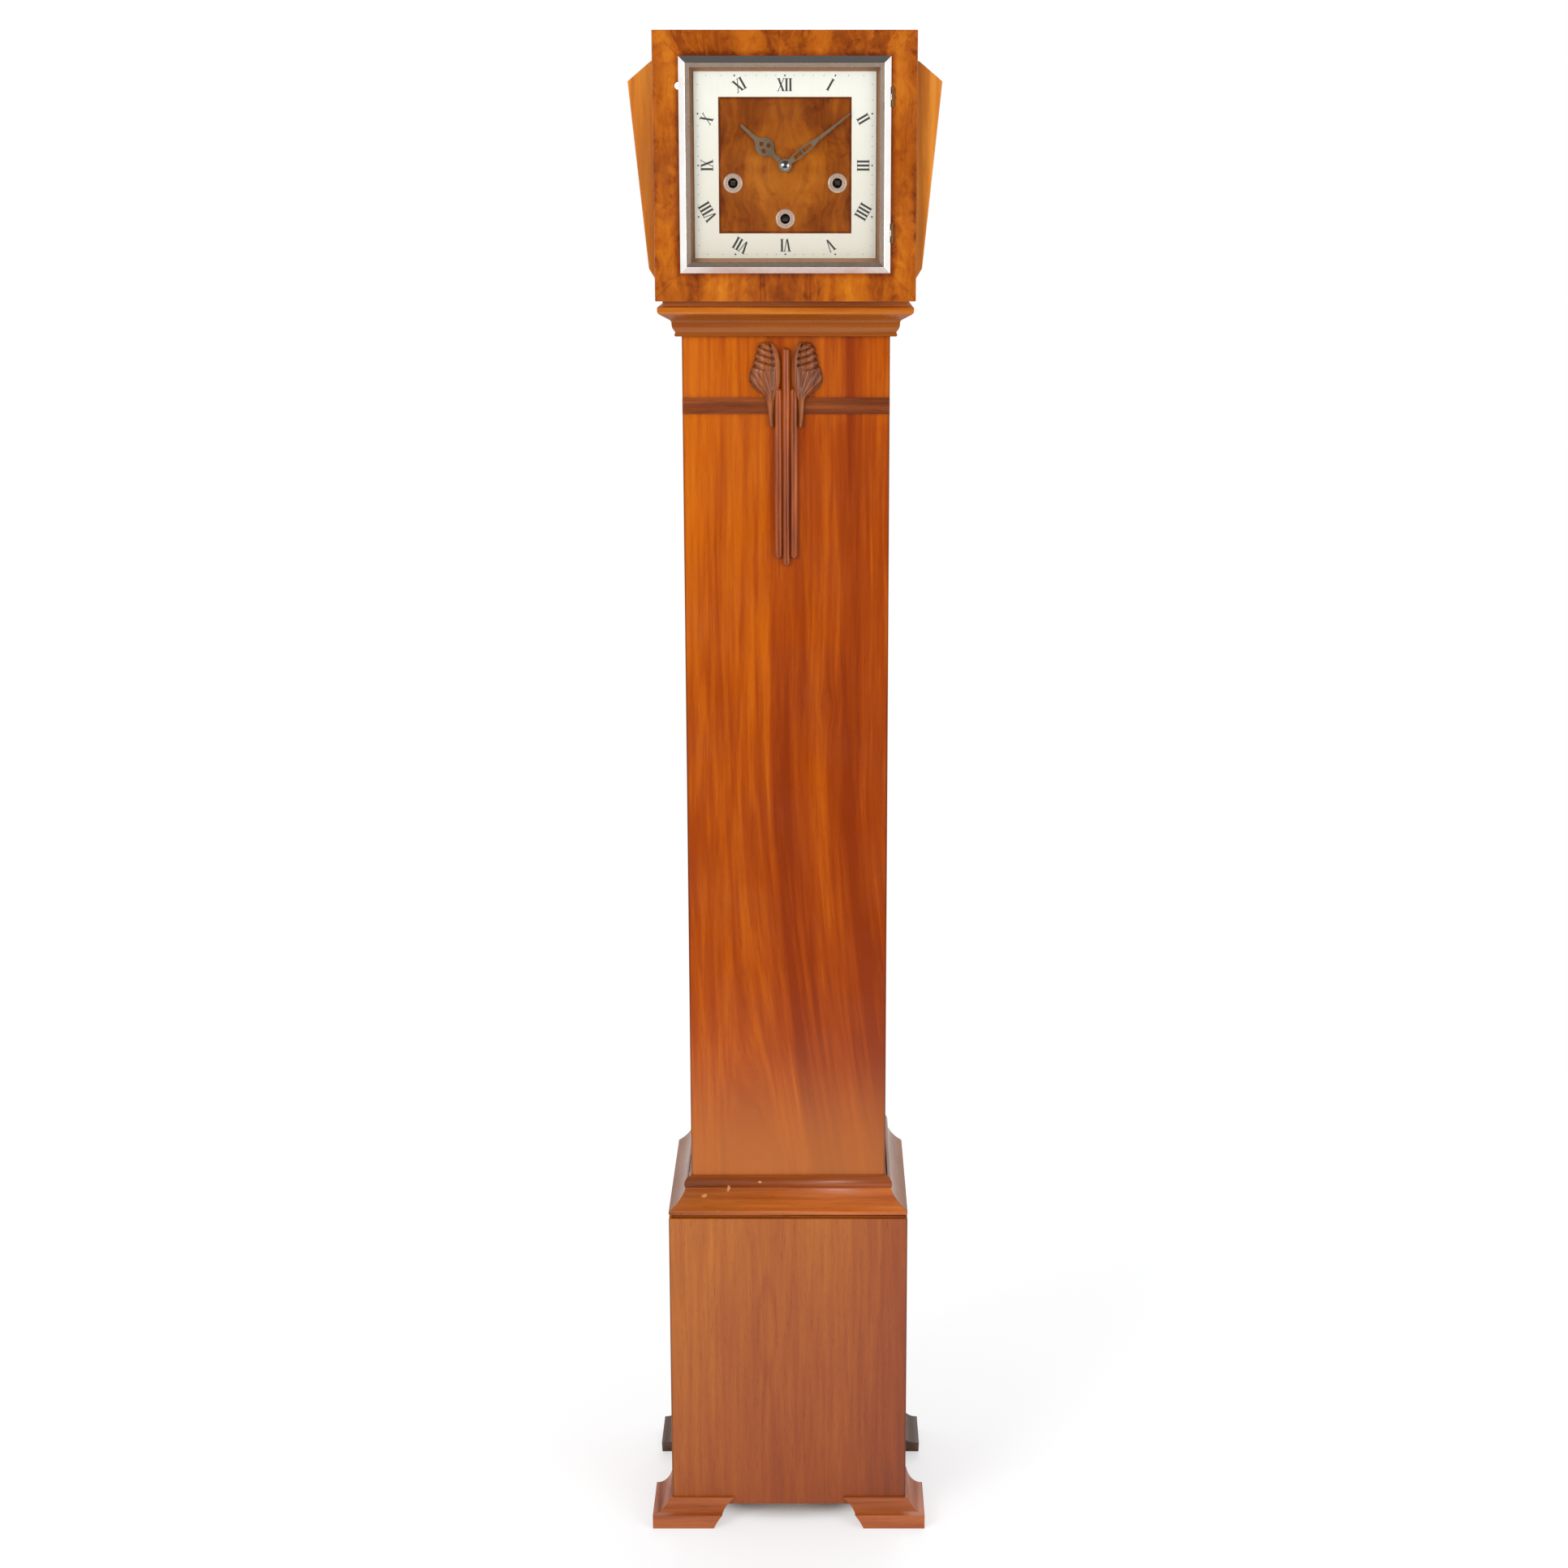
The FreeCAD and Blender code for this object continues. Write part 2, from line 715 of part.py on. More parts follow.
def head():
    back = headFront + d.frontBoard
    middle = dialHigh
    half = d.openingSize / 2
    front = block((-headSide, headFront, headLow), (headSide, back, headHigh))
    hole = block((-half, headFront - d.overrun, middle - half),
                 (half, back + d.overrun, middle + half))
    keep("head_front", cut(front, [hole] + bezelTangs(d.pivotGap)))
    side = block((headInside, back, headLow), (headSide, caseBack, headHigh - d.board))
    keep("head_side_right", side)
    keep("head_side_left", mirrored(side))
    keep("head_top", block((-headSide, back, headHigh - d.board), (headSide, caseBack, headHigh)))

    wingOutline = [
        (headSide, headLow + d.wingEndRise),
        (headSide + d.wingHeelReach, headLow + d.wingHeelRise),
        (headSide + d.wingReach, headLow + d.wingTipRise),
        (headSide + d.wingTopReach, headLow + d.wingTopRise),
        (headSide, headLow + d.wingTopRise),
    ]
    wingFront = headFront + d.wingSetback
    wing = slab("XZ_Plane", wingFront, wingFront + d.wingThick, wingOutline)
    keep("head_wings", group([wing, mirrored(wing)]))

    seat = block((-headInside, back, seatLow), (headInside, doorFront - d.seatBackGap, seatHigh))
    half = d.seatOpeningWidth / 2
    slot = block((-half, trunkFront + d.seatOpeningFront, seatLow - d.overrun),
                 (half, trunkFront + d.seatOpeningBack, seatHigh + d.overrun))
    keep("seat_board", cut(seat, [slot]))


def backDoor():
    low = headLow + d.doorGap
    high = headHigh - d.board - d.doorGap
    pivotX = -headInside + d.doorPivotInset
    pivotY = (doorBack + doorFront) / 2
    panel = block((-headInside + d.doorGap, doorFront, low), (headInside - d.doorGap, doorBack, high))
    bore = d.doorPin + d.pivotGap
    depth = d.doorPinDepth
    holes = [
        rod("z", (pivotX, pivotY, low - d.overrun), bore, depth + d.overrun),
        rod("z", (pivotX, pivotY, high - depth), bore, depth + d.overrun),
    ]
    keep("back_door", cut(panel, holes))
    length = depth + d.doorGap - d.jointGap
    keep("back_door_pivots", group([
        rod("z", (pivotX, pivotY, headLow), d.doorPin, length),
        rod("z", (pivotX, pivotY, headHigh - d.board - length), d.doorPin, length),
    ]))
    knobX = headInside - d.doorPivotInset * 2
    keep("back_door_knob", fused([
        rod("y", (knobX, doorBack, dialHigh), d.knobRadius / 2, d.knobLength / 2),
        rod("y", (knobX, doorBack + d.knobLength / 2, dialHigh), d.knobRadius, d.knobLength / 2),
    ]))


def wedge(near, far, nearHalf, farHalf, middle):
    # A square frustum along Y, centred on the dial
    item = doc.addObject("Part::Wedge", newName("Wedge"))
    bind(item, "Ymin", near)
    bind(item, "Ymax", far)
    bind(item, "Xmax", nearHalf)
    bind(item, "Xmin", -nearHalf)
    bind(item, "Zmax", middle + nearHalf)
    bind(item, "Zmin", middle - nearHalf)
    bind(item, "X2max", farHalf)
    bind(item, "X2min", -farHalf)
    bind(item, "Z2max", middle + farHalf)
    bind(item, "Z2min", middle - farHalf)
    return item


def square(half, near, far):
    # A square block along Y, centred on the dial
    return block((-half, near, dialHigh - half), (half, far, dialHigh + half))


def bezelHingePlace():
    return (d.bezelSize / 2 + d.bezelKnuckle + d.jointGap, headFront - d.bezelKnuckle - d.jointGap)


def bezelTangs(clearance):
    # Flat tangs of the two hinges, or with a clearance the mortises that take them
    hingeX, hingeY = bezelHingePlace()
    half = d.tangThick / 2 + clearance
    knuckle = d.bezelHingeLength / 3
    tangs = []
    for middle in (dialHigh - d.bezelHingeRise, dialHigh + d.bezelHingeRise):
        start = middle - d.bezelHingeLength / 2
        for low in (start, start + knuckle * 2):
            tangs.append(block((hingeX - half, hingeY, low - clearance),
                               (hingeX + half, headFront + d.tangDepth + clearance,
                                low + knuckle + clearance)))
    return tangs


def bezel():
    half = d.bezelSize / 2
    inner = d.bezelOpening / 2
    back = headFront - d.jointGap
    ridge = headFront - d.bezelProud
    edge = headFront - d.bezelEdge
    outside = fused([
        wedge(ridge, edge, half - d.bezelRidge, half, dialHigh),
        square(half, edge, back),
    ])
    slope = wedge(ridge, headFront - d.bezelInnerLift,
                  half - d.bezelRidge - d.bezelFlat, inner, dialHigh)
    glassHalf = inner + d.glassLap
    glassFront = headFront - d.glassLift - d.glassThick
    frame = cut(outside, [
        slope,
        square(inner, ridge - d.overrun, back + d.overrun),
        square(glassHalf, glassFront, back + d.overrun),
    ])
    keep("bezel_glass", square(glassHalf, glassFront, headFront - d.glassLift))

    hingeX, hingeY = bezelHingePlace()
    third = d.bezelHingeLength / 3
    tangs = bezelTangs(0)
    moving = [frame]
    bores = []
    fixed = []
    for middle in (dialHigh - d.bezelHingeRise, dialHigh + d.bezelHingeRise):
        low = middle - third / 2 + d.jointGap
        high = middle + third / 2 - d.jointGap
        moving.append(rod("z", (hingeX, hingeY, low), d.bezelKnuckle, high - low))
        moving.append(block((half, edge, low), (hingeX, back, high)))
        bores.append(rod("z", (hingeX, hingeY, low - d.overrun), d.bezelPin + d.pivotGap,
                         high - low + d.overrun * 2))
        start = middle - d.bezelHingeLength / 2
        end = middle + d.bezelHingeLength / 2
        pieces = [
            rod("z", (hingeX, hingeY, start), d.bezelPin, d.bezelHingeLength),
            rod("z", (hingeX, hingeY, start), d.bezelKnuckle, third),
            rod("z", (hingeX, hingeY, end - third), d.bezelKnuckle, third),
        ]
        fixed.append(fused(pieces + [tangs.pop(0), tangs.pop(0)]))
    keep("bezel_frame", cut(fused(moving), bores))
    keep("bezel_hinges", group(fixed))

    tab = common([
        rod("y", (-half, back - d.tabThick, dialHigh + d.tabRise), d.tabRadius, d.tabThick),
        block((-half - d.tabRadius * 2, edge - d.overrun, dialHigh),
              (-half, back + d.overrun, dialHigh + d.tabRise * 2)),
    ])
    keep("bezel_tab", tab)


def windingPlaces():
    # Strike on the left, going in the middle and chime on the right, seen from the front
    return {
        "strike": (-d.windSpread, dialHigh - d.windDrop),
        "going": (asSize(0), dialHigh - d.goingDrop),
        "chime": (d.windSpread, dialHigh - d.windDrop),
    }


def dial():
    half = d.dialPlateSize / 2
    corners = rectangle(-half, half, dialHigh - half, dialHigh + half)
    holes = [(asSize(0), dialHigh, d.handHole)]
    for across, up in windingPlaces().values():
        holes.append((across, up, d.colletHole))
    pieces = [slab("XZ_Plane", dialPlateFront, dialPlateBack, corners, holes)]
    for across in (-d.dialFootAcross, d.dialFootAcross):
        for up in (dialHigh - d.dialFootUp, dialHigh + d.dialFootUp):
            pieces.append(rod("y", (across, dialPlateBack, up), d.dialFootRadius, d.plateFrontGap))
    keep("dial_plate", fused(pieces))

    inner = d.ringOpening / 2
    outer = d.ringSize / 2
    ring = square(outer, dialFace, dialPlateFront)
    opening = square(inner, dialFace - d.overrun, dialPlateFront + d.overrun)
    keep("chapter_ring", cut(ring, [opening]))
    panelFace = dialPlateFront - d.centrePanelThick
    corners = rectangle(-inner, inner, dialHigh - inner, dialHigh + inner)
    keep("dial_centre_panel", slab("XZ_Plane", panelFace, dialPlateFront, corners, holes))

    front = panelFace - d.colletProud
    rim = d.colletProud / 3
    outline = [
        (d.colletHole, panelFace), (d.colletHole, front + rim), (d.colletHole + rim, front),
        (d.colletRadius - d.colletProud, front), (d.colletRadius, panelFace - rim),
        (d.colletRadius, panelFace),
    ]
    keep("winding_collets", group([turnedBody(across, up, outline)
                                   for across, up in windingPlaces().values()]))


forward = Vector(0, 1, 0)


def feature(name, shape, x, z, angle=0.0):
    # A piece on an axis along Y, shaped round the origin, then turned and put in its place
    item = doc.addObject("Part::Feature", newName("Piece"))
    item.Shape = shape
    item.Placement = Placement(Vector(float(x), 0, float(z)), Rotation(forward, float(angle)))
    return keep(name, item)


def disc(radius, front, back, x=0.0, z=0.0):
    return Part.makeCylinder(float(radius), float(back) - float(front),
                             Vector(float(x), float(front), float(z)), forward)


def plate(points, front, back):
    # A flat shape from points (across, up)
    wire = Part.makePolygon([Vector(x, float(front), z) for x, z in points + points[:1]])
    return Part.Face(wire).extrude(forward * (float(back) - float(front)))


def joined(shapes):
    whole = shapes[0].multiFuse(shapes[1:])
    return whole.removeSplitter()


# Hands, as shares of their length: (along, half width) up one side, then the pierced slots
minuteHandShares = [(0.05, 0.030), (0.12, 0.036), (0.22, 0.047), (0.38, 0.044), (0.46, 0.030),
                    (0.50, 0.021), (0.97, 0.009), (1.0, 0.003)]
minuteSlotShares = [(0.14, 0.25, 0.024), (0.28, 0.40, 0.024)]
hourHandShares = [(0.08, 0.042), (0.26, 0.036), (0.31, 0.070), (0.60, 0.070), (0.66, 0.036),
                  (0.97, 0.022), (1.0, 0.006)]
hourDiscShare = 0.155
hourDiscAlongShare = 0.46
hourHoleShare = 0.036
hourHoleSpreadShare = 0.072


def hand(length, shares, slots, front, hub, bore):
    side = [(length * wide, length * along) for along, wide in shares]
    back = front + float(d.handThick)
    blade = plate(side + [(-x, z) for x, z in reversed(side)], front, back)
    cuts = [disc(bore, front - float(d.overrun), back + float(d.overrun))]
    for low, high, wide in slots:
        corners = [(-length * wide, length * low), (length * wide, length * low),
                   (length * wide, length * high), (-length * wide, length * high)]
        cuts.append(plate(corners, front - float(d.overrun), back + float(d.overrun)))
    return joined([blade, disc(hub, front, back)]), cuts


def hands():
    face = float(dialFace)
    front = face - float(d.minuteLift) - float(d.handThick)
    shape, cuts = hand(float(d.minuteLength), minuteHandShares, minuteSlotShares, front,
                       d.hubRadius, d.arborRadius)
    feature("minute_hand", shape.cut(cuts), 0, dialHigh, d.minuteAngle)

    length = float(d.hourLength)
    front = face - float(d.hourLift) - float(d.handThick)
    back = front + float(d.handThick)
    shape, cuts = hand(length, hourHandShares, [], front, d.hubRadius, d.cannonRadius + d.pivotGap)
    middle = length * hourDiscAlongShare
    shape = joined([shape, disc(length * hourDiscShare, front, back, z=middle)])
    for angle in (90, 210, 330):
        spread = length * hourHoleSpreadShare
        x = spread * math.cos(math.radians(angle))
        z = middle + spread * math.sin(math.radians(angle))
        cuts.append(disc(length * hourHoleShare, front - float(d.overrun),
                         back + float(d.overrun), x, z))
    feature("hour_hand", shape.cut(cuts), 0, dialHigh, d.hourAngle)

    nutBack = face - float(d.minuteLift) - float(d.handThick)
    high = float(d.nutThick)
    wide = float(d.nutRadius)
    dome = (wide * wide + high * high) / (2 * high)
    nut = Part.makeSphere(dome, Vector(0, nutBack - high + dome, 0))
    nut = nut.common(disc(wide, nutBack - high - float(d.overrun), nutBack))
    feature("hand_nut", nut, 0, dialHigh)


def involute(angle):
    return math.tan(angle) - angle


pressureAngle = math.radians(20)
addendumShare = 0.75
dedendumShare = 1.15
backlashShare = 0.93
rimShare = 0.80
hubShare = 0.22
spokeShare = 0.10


def gearPoints(teeth, module, phase):
    # Involute teeth with shallow tips; a tooth's middle points at the phase angle
    pitch = teeth * module / 2
    base = pitch * math.cos(pressureAngle)
    root = pitch - dedendumShare * module
    tip = pitch + addendumShare * module
    halfTooth = math.pi / (2 * teeth) * backlashShare
    side = []
    for radius in (root, max(root, base), (pitch + max(root, base)) / 2, pitch, tip):
        turn = math.acos(min(base / radius, 1.0))
        side.append((radius, halfTooth + involute(pressureAngle) - involute(turn)))
    points = []
    for tooth in range(teeth):
        middle = phase + 2 * math.pi * tooth / teeth
        for radius, angle in side:
            points.append((radius * math.cos(middle - angle), radius * math.sin(middle - angle)))
        for radius, angle in reversed(side):
            points.append((radius * math.cos(middle + angle), radius * math.sin(middle + angle)))
    return points


def gear(teeth, module, phase, front, back, crossed=True):
    # A toothed wheel; a crossed-out one has a rim, a hub and four spokes
    shape = plate(gearPoints(teeth, module, phase), front, back)
    if not crossed:
        return shape
    pitch = teeth * module / 2
    front = float(front)
    back = float(back)
    rim = pitch * rimShare
    shape = shape.cut(disc(rim, front - float(d.overrun), back + float(d.overrun)))
    wide = pitch * spokeShare / 2
    reach = rim + module / 2
    spokes = [
        Part.makeBox(wide * 2, back - front, reach * 2, Vector(-wide, front, -reach)),
        Part.makeBox(reach * 2, back - front, wide * 2, Vector(-reach, front, -wide)),
    ]
    return joined([shape, disc(pitch * hubShare, front, back)] + spokes)


def meshPhase(fromPlace, toPlace, teeth, phase, otherTeeth):
    # Phase of a second gear whose gap meets the first gear's tooth on the line between them
    across = float(toPlace[0]) - float(fromPlace[0])
    up = float(toPlace[1]) - float(fromPlace[1])
    line = math.atan2(up, across)
    offset = (line - phase) * teeth / (2 * math.pi)
    return line + math.pi - (0.5 - offset) * 2 * math.pi / otherTeeth


def apart(first, second):
    return math.hypot(float(second[0]) - float(first[0]), float(second[1]) - float(first[1]))


# Teeth of the going train and of the motion work, which turns the hour hand once in twelve
greatTeeth, centrePinionTeeth = 84, 12
centreTeeth, thirdPinionTeeth = 72, 8
thirdTeeth, escapePinionTeeth = 70, 7
escapeTeeth = 40
escapeToothShares = [(0.84, 0.0), (1.0, 0.35), (1.0, 0.45)]    # (reach, turn) round one tooth
strikeTeeth = 64

# The pallets' anchor, one side, as shares of the distance from the escape arbor to its own
palletShares = [(0.0, 0.20), (0.23, 0.15), (0.57, -0.16), (0.65, -0.38), (0.60, -0.48),
                (0.53, -0.36), (0.45, -0.18), (0.16, -0.06), (0.0, -0.12)]
cannonTeeth, minuteTeeth = 14, 42
minutePinionTeeth, hourTeeth = 10, 40

centrePlace = (asSize(0), dialHigh)
thirdPlace = (d.thirdRight, dialHigh + d.thirdRise)
escapePlace = (asSize(0), dialHigh + d.escapeRise)
palletPlace = (asSize(0), dialHigh + d.palletRise)
minutePlace = (-d.minuteWheelLeft, dialHigh + d.minuteWheelRise)


def plates():
    low = dialHigh - d.plateDrop
    high = dialHigh + d.plateRise
    corners = rectangle(-d.plateHalfWidth, d.plateHalfWidth, low, high)
    pivot = d.pivotRadius + d.pivotGap
    winding = d.windArborRadius + d.pivotGap
    windHoles = [(across, up, winding) for across, up in windingPlaces().values()]
    upper = [thirdPlace + (pivot,), escapePlace + (pivot,), palletPlace + (pivot,)]

    holes = windHoles + upper + [centrePlace + (d.arborRadius + d.pivotGap,)]
    front = slab("XZ_Plane", frontPlateFront, frontPlateBack, corners, holes)
    studEnd = dialPlateBack + d.endPlay
    stud = rod("y", (minutePlace[0], studEnd, minutePlace[1]), d.studRadius,
               frontPlateFront - studEnd)
    keep("movement_front_plate", fused([front, stud]))

    holes = windHoles + upper + [centrePlace + (pivot,)]
    pieces = [slab("XZ_Plane", backPlateFront, backPlateBack, corners, holes)]
    cockLow = palletPlace[1] + d.springLength / 2 + d.jointGap
    half = d.cockWidth / 2
    pieces.append(block((-half, backPlateBack, cockLow),
                        (half, backPlateBack + d.pendulumBehind * 1.5, cockLow + d.cockHeight)))
    ear = d.hammerEarHeight / 2
    earX = d.seatOpeningWidth / 2 + d.hammerEarWidth
    pivotY = backPlateBack + d.hammerPivotBehind
    pivotZ = dialHigh - d.hammerPivotDrop
    for left in (-earX - d.hammerEarWidth, earX):
        pieces.append(block((left, backPlateBack, pivotZ - ear),
                            (left + d.hammerEarWidth, pivotY + ear, pivotZ + ear)))
    bore = rod("x", (-earX * 2, pivotY, pivotZ), d.hammerArborRadius + d.pivotGap, earX * 4)
    keep("movement_back_plate", cut(fused(pieces), [bore]))

    side = d.plateHalfWidth - d.pillarInset
    pillars = []
    for across in (-side, side):
        for up in (low + d.pillarInset, high - d.pillarInset):
            pillars.append(rod("y", (across, frontPlateBack, up), d.pillarRadius, d.plateSpacing))
    keep("movement_pillars", group(pillars))


def windingArbors():
    start = float(dialFace) + float(d.windSquareStart)
    half = float(d.windSquare) / 2
    front = float(frontPlateFront)
    corners = [(-half, -half), (half, -half), (half, half), (-half, half)]
    for name, (across, up) in windingPlaces().items():
        shape = joined([
            plate(corners, start, front),
            disc(d.windArborRadius, front, backPlateBack),
        ])
        feature(f"{name}_winding_arbor", shape, across, up)


def trains():
    front = float(frontPlateBack)
    back = float(backPlateFront)
    play = float(d.endPlay)
    wheelGap = float(d.wheelGap)
    closeGap = float(d.closeGap)
    places = windingPlaces()
    bore = disc(d.windArborRadius + d.pivotGap, front, back)

    # The going barrel drives the centre pinion from just behind the front plate
    greatFront = front + float(d.greatGap)
    greatBack = greatFront + float(d.greatThick)
    barrelBack = greatBack + float(d.barrelLength)
    greatModule = 2 * apart(places["going"], centrePlace) / (greatTeeth + centrePinionTeeth)
    shape = joined([
        gear(greatTeeth, greatModule, math.pi / 2, greatFront, greatBack, False),
        disc(d.barrelRadius, greatBack, barrelBack),
    ])
    feature("going_barrel", shape.cut(bore), *places["going"])

    # Strike and chime barrels sit behind it, with their wheels at the back
    sideFront = greatBack + wheelGap
    sideBack = barrelBack - float(d.greatThick) / 2
    for name in ("strike", "chime"):
        wheelFront = sideBack - float(d.greatThick)
        module = 2 * float(d.strikeWheelRadius) / strikeTeeth
        shape = joined([
            disc(d.barrelRadius, sideFront, wheelFront),
            gear(strikeTeeth, module, 0.0, wheelFront, sideBack, False),
        ])
        feature(f"{name}_barrel", shape.cut(bore), *places[name])

    pinionLength = float(d.pinionLength)
    wheelThick = float(d.wheelThick)
    arbor = d.arborRadius
    pivot = d.pivotRadius
    frontStart = float(frontPlateFront)
    backEnd = float(backPlateBack)

    # Centre arbor: pinion at the front, wheel behind the barrel, cannon pinion under the dial
    pinionPhase = meshPhase(places["going"], centrePlace, greatTeeth, math.pi / 2,
                            centrePinionTeeth)
    centreFront = barrelBack + wheelGap
    centreModule = 2 * apart(centrePlace, thirdPlace) / (centreTeeth + thirdPinionTeeth)
    minuteModule = 2 * apart(centrePlace, minutePlace) / (cannonTeeth + minuteTeeth)
    cannonBack = frontStart - closeGap
    cannonFront = cannonBack - wheelThick * 2
    handFront = float(dialFace) - float(d.minuteLift) - float(d.handThick)
    shape = joined([
        disc(arbor, handFront, back - play),
        disc(pivot, back - play, backEnd),
        disc(d.cannonRadius, handFront + float(d.handThick), cannonFront),
        gear(cannonTeeth, minuteModule, 0.0, cannonFront, cannonBack, False),
        gear(centrePinionTeeth, greatModule, pinionPhase, front + wheelGap, greatBack + play, False),
        gear(centreTeeth, centreModule, 0.0, centreFront, centreFront + wheelThick),
    ])
    feature("centre_wheel", shape, *centrePlace)

    # Third wheel and escape wheel
    pinionPhase = meshPhase(centrePlace, thirdPlace, centreTeeth, 0.0, thirdPinionTeeth)
    thirdBack = centreFront + wheelThick + closeGap
    wheelFront = greatBack + wheelGap * 2
    thirdModule = 2 * apart(thirdPlace, escapePlace) / (thirdTeeth + escapePinionTeeth)
    shape = joined([
        disc(pivot, frontStart, front + play),
        disc(arbor, front + play, back - play),
        disc(pivot, back - play, backEnd),
        gear(thirdPinionTeeth, centreModule, pinionPhase, thirdBack - pinionLength, thirdBack, False),
        gear(thirdTeeth, thirdModule, 0.0, wheelFront, wheelFront + wheelThick),
    ])
    feature("third_wheel", shape, *thirdPlace)

    pinionPhase = meshPhase(thirdPlace, escapePlace, thirdTeeth, 0.0, escapePinionTeeth)
    pinionFront = wheelFront - closeGap
    pinionBack = pinionFront + pinionLength
    escapeFront = pinionBack + wheelGap
    radius = float(d.escapeRadius)
    points = []
    for tooth in range(escapeTeeth):
        for reachShare, turnShare in escapeToothShares:
            angle = 2 * math.pi * (tooth + turnShare) / escapeTeeth
            reach = radius * reachShare
            points.append((reach * math.cos(angle), reach * math.sin(angle)))
    shape = joined([
        disc(pivot, frontStart, front + play),
        disc(d.escapeArborRadius, front + play, back - play),
        disc(pivot, back - play, backEnd),
        gear(escapePinionTeeth, thirdModule, pinionPhase, pinionFront, pinionBack, False),
        plate(points, escapeFront, escapeFront + wheelThick / 2),
    ])
    feature("escape_wheel", shape, *escapePlace)
    return escapeFront


def motionWork():
    minuteModule = 2 * apart(centrePlace, minutePlace) / (cannonTeeth + minuteTeeth)
    hourModule = 2 * apart(centrePlace, minutePlace) / (minutePinionTeeth + hourTeeth)
    play = float(d.endPlay)
    thick = float(d.wheelThick)
    cannonBack = float(frontPlateFront) - float(d.closeGap)
    wheelBack = cannonBack - thick / 2
    wheelFront = wheelBack - thick
    hourBack = wheelFront - thick
    hourFront = hourBack - thick
    phase = meshPhase(centrePlace, minutePlace, cannonTeeth, 0.0, minuteTeeth)
    shape = joined([
        gear(minuteTeeth, minuteModule, phase, wheelFront, wheelBack, False),
        gear(minutePinionTeeth, hourModule, 0.0, hourFront - play, wheelFront, False),
    ])
    bore = disc(d.studRadius + d.pivotGap, hourFront - thick, cannonBack + thick)
    feature("minute_wheel", shape.cut(bore), *minutePlace)

    phase = meshPhase(minutePlace, centrePlace, minutePinionTeeth, 0.0, hourTeeth)
    handBack = float(dialFace) - float(d.hourLift)
    shape = joined([
        gear(hourTeeth, hourModule, phase, hourFront, hourBack, False),
        disc(d.hourPipeRadius, handBack, hourFront),
    ])
    bore = disc(d.cannonRadius + d.pivotGap, handBack - thick, hourBack + thick)
    feature("hour_wheel", shape.cut(bore), *centrePlace)


def pendulum(escapeFront):
    axis = float(palletPlace[1])
    distance = apart(escapePlace, palletPlace)
    crutchY = float(backPlateBack) + float(d.pendulumBehind) / 2
    wire = float(d.crutchWire) / 2
    drop = float(d.crutchDrop)
    thick = float(d.wheelThick)
    play = float(d.endPlay)
    front = float(frontPlateBack)
    back = float(backPlateFront)
    half = [(distance * across, distance * up) for across, up in palletShares]
    anchor = plate(half + [(-x, z) for x, z in reversed(half)],
                   escapeFront - play, escapeFront + thick)
    forkX = float(d.rodWidth) / 2 + float(d.jointGap) + wire
    forkEnd = float(backPlateBack) + float(d.pendulumBehind) + float(d.rodThick)
    pieces = [
        anchor,
        disc(d.pivotRadius, frontPlateFront, front + play),
        disc(d.escapeArborRadius, front + play, back - play),
        disc(d.pivotRadius, back - play, crutchY + wire),
        Part.makeCylinder(wire, drop, Vector(0, crutchY, -drop)),
        Part.makeBox(forkX * 2, wire * 2, wire * 2, Vector(-forkX, crutchY - wire, -drop - wire)),
        disc(wire, crutchY, forkEnd, -forkX, -drop),
        disc(wire, crutchY, forkEnd, forkX, -drop),
    ]
    feature("pallet_anchor", joined(pieces), *palletPlace)

    middleY = backPlateBack + d.pendulumBehind
    pivotZ = palletPlace[1]
    bobZ = pivotZ - d.pendulumLength
    spring = d.springLength / 2
    keep("suspension_spring", block(
        (-d.springWidth / 2, middleY - d.springThick / 2, pivotZ - spring),
        (d.springWidth / 2, middleY + d.springThick / 2, pivotZ + spring)))
    threadTop = bobZ + d.bobRadius + d.jointGap
    threadLow = bobZ - d.bobRadius - d.threadLength
    keep("pendulum_rod", fused([
        block((-d.rodWidth / 2, middleY - d.rodThick / 2, threadTop),
              (d.rodWidth / 2, middleY + d.rodThick / 2, pivotZ - spring)),
        rod("z", (asSize(0), middleY, threadLow), d.threadRadius, threadTop - threadLow),
    ]))

    dome = d.bobThick / 2 - d.bobEdge / 2
    curve = (d.bobRadius * d.bobRadius + dome * dome) / (dome * 2)
    low = middleY - d.bobThick / 2
    high = middleY + d.bobThick / 2
    outline = [
        (asSize(0), low), (d.bobRadius, middleY - d.bobEdge / 2, curve, 1),
        (d.bobRadius, middleY + d.bobEdge / 2), (asSize(0), high, curve, 1),
    ]
    bore = rod("z", (asSize(0), middleY, bobZ - d.bobRadius - d.overrun),
               d.threadRadius + d.pivotGap, (d.bobRadius + d.overrun) * 2)
    keep("pendulum_bob", cut(turnedBody(asSize(0), bobZ, outline), [bore]))
    nutHigh = bobZ - d.bobRadius - d.jointGap
    nutLow = nutHigh - d.ratingNutLength
    nut = rod("z", (asSize(0), middleY, nutLow), d.ratingNutRadius, d.ratingNutLength)
    bore = rod("z", (asSize(0), middleY, nutLow - d.overrun), d.threadRadius + d.pivotGap,
               d.ratingNutLength + d.overrun * 2)
    keep("rating_nut", cut(nut, [bore]))


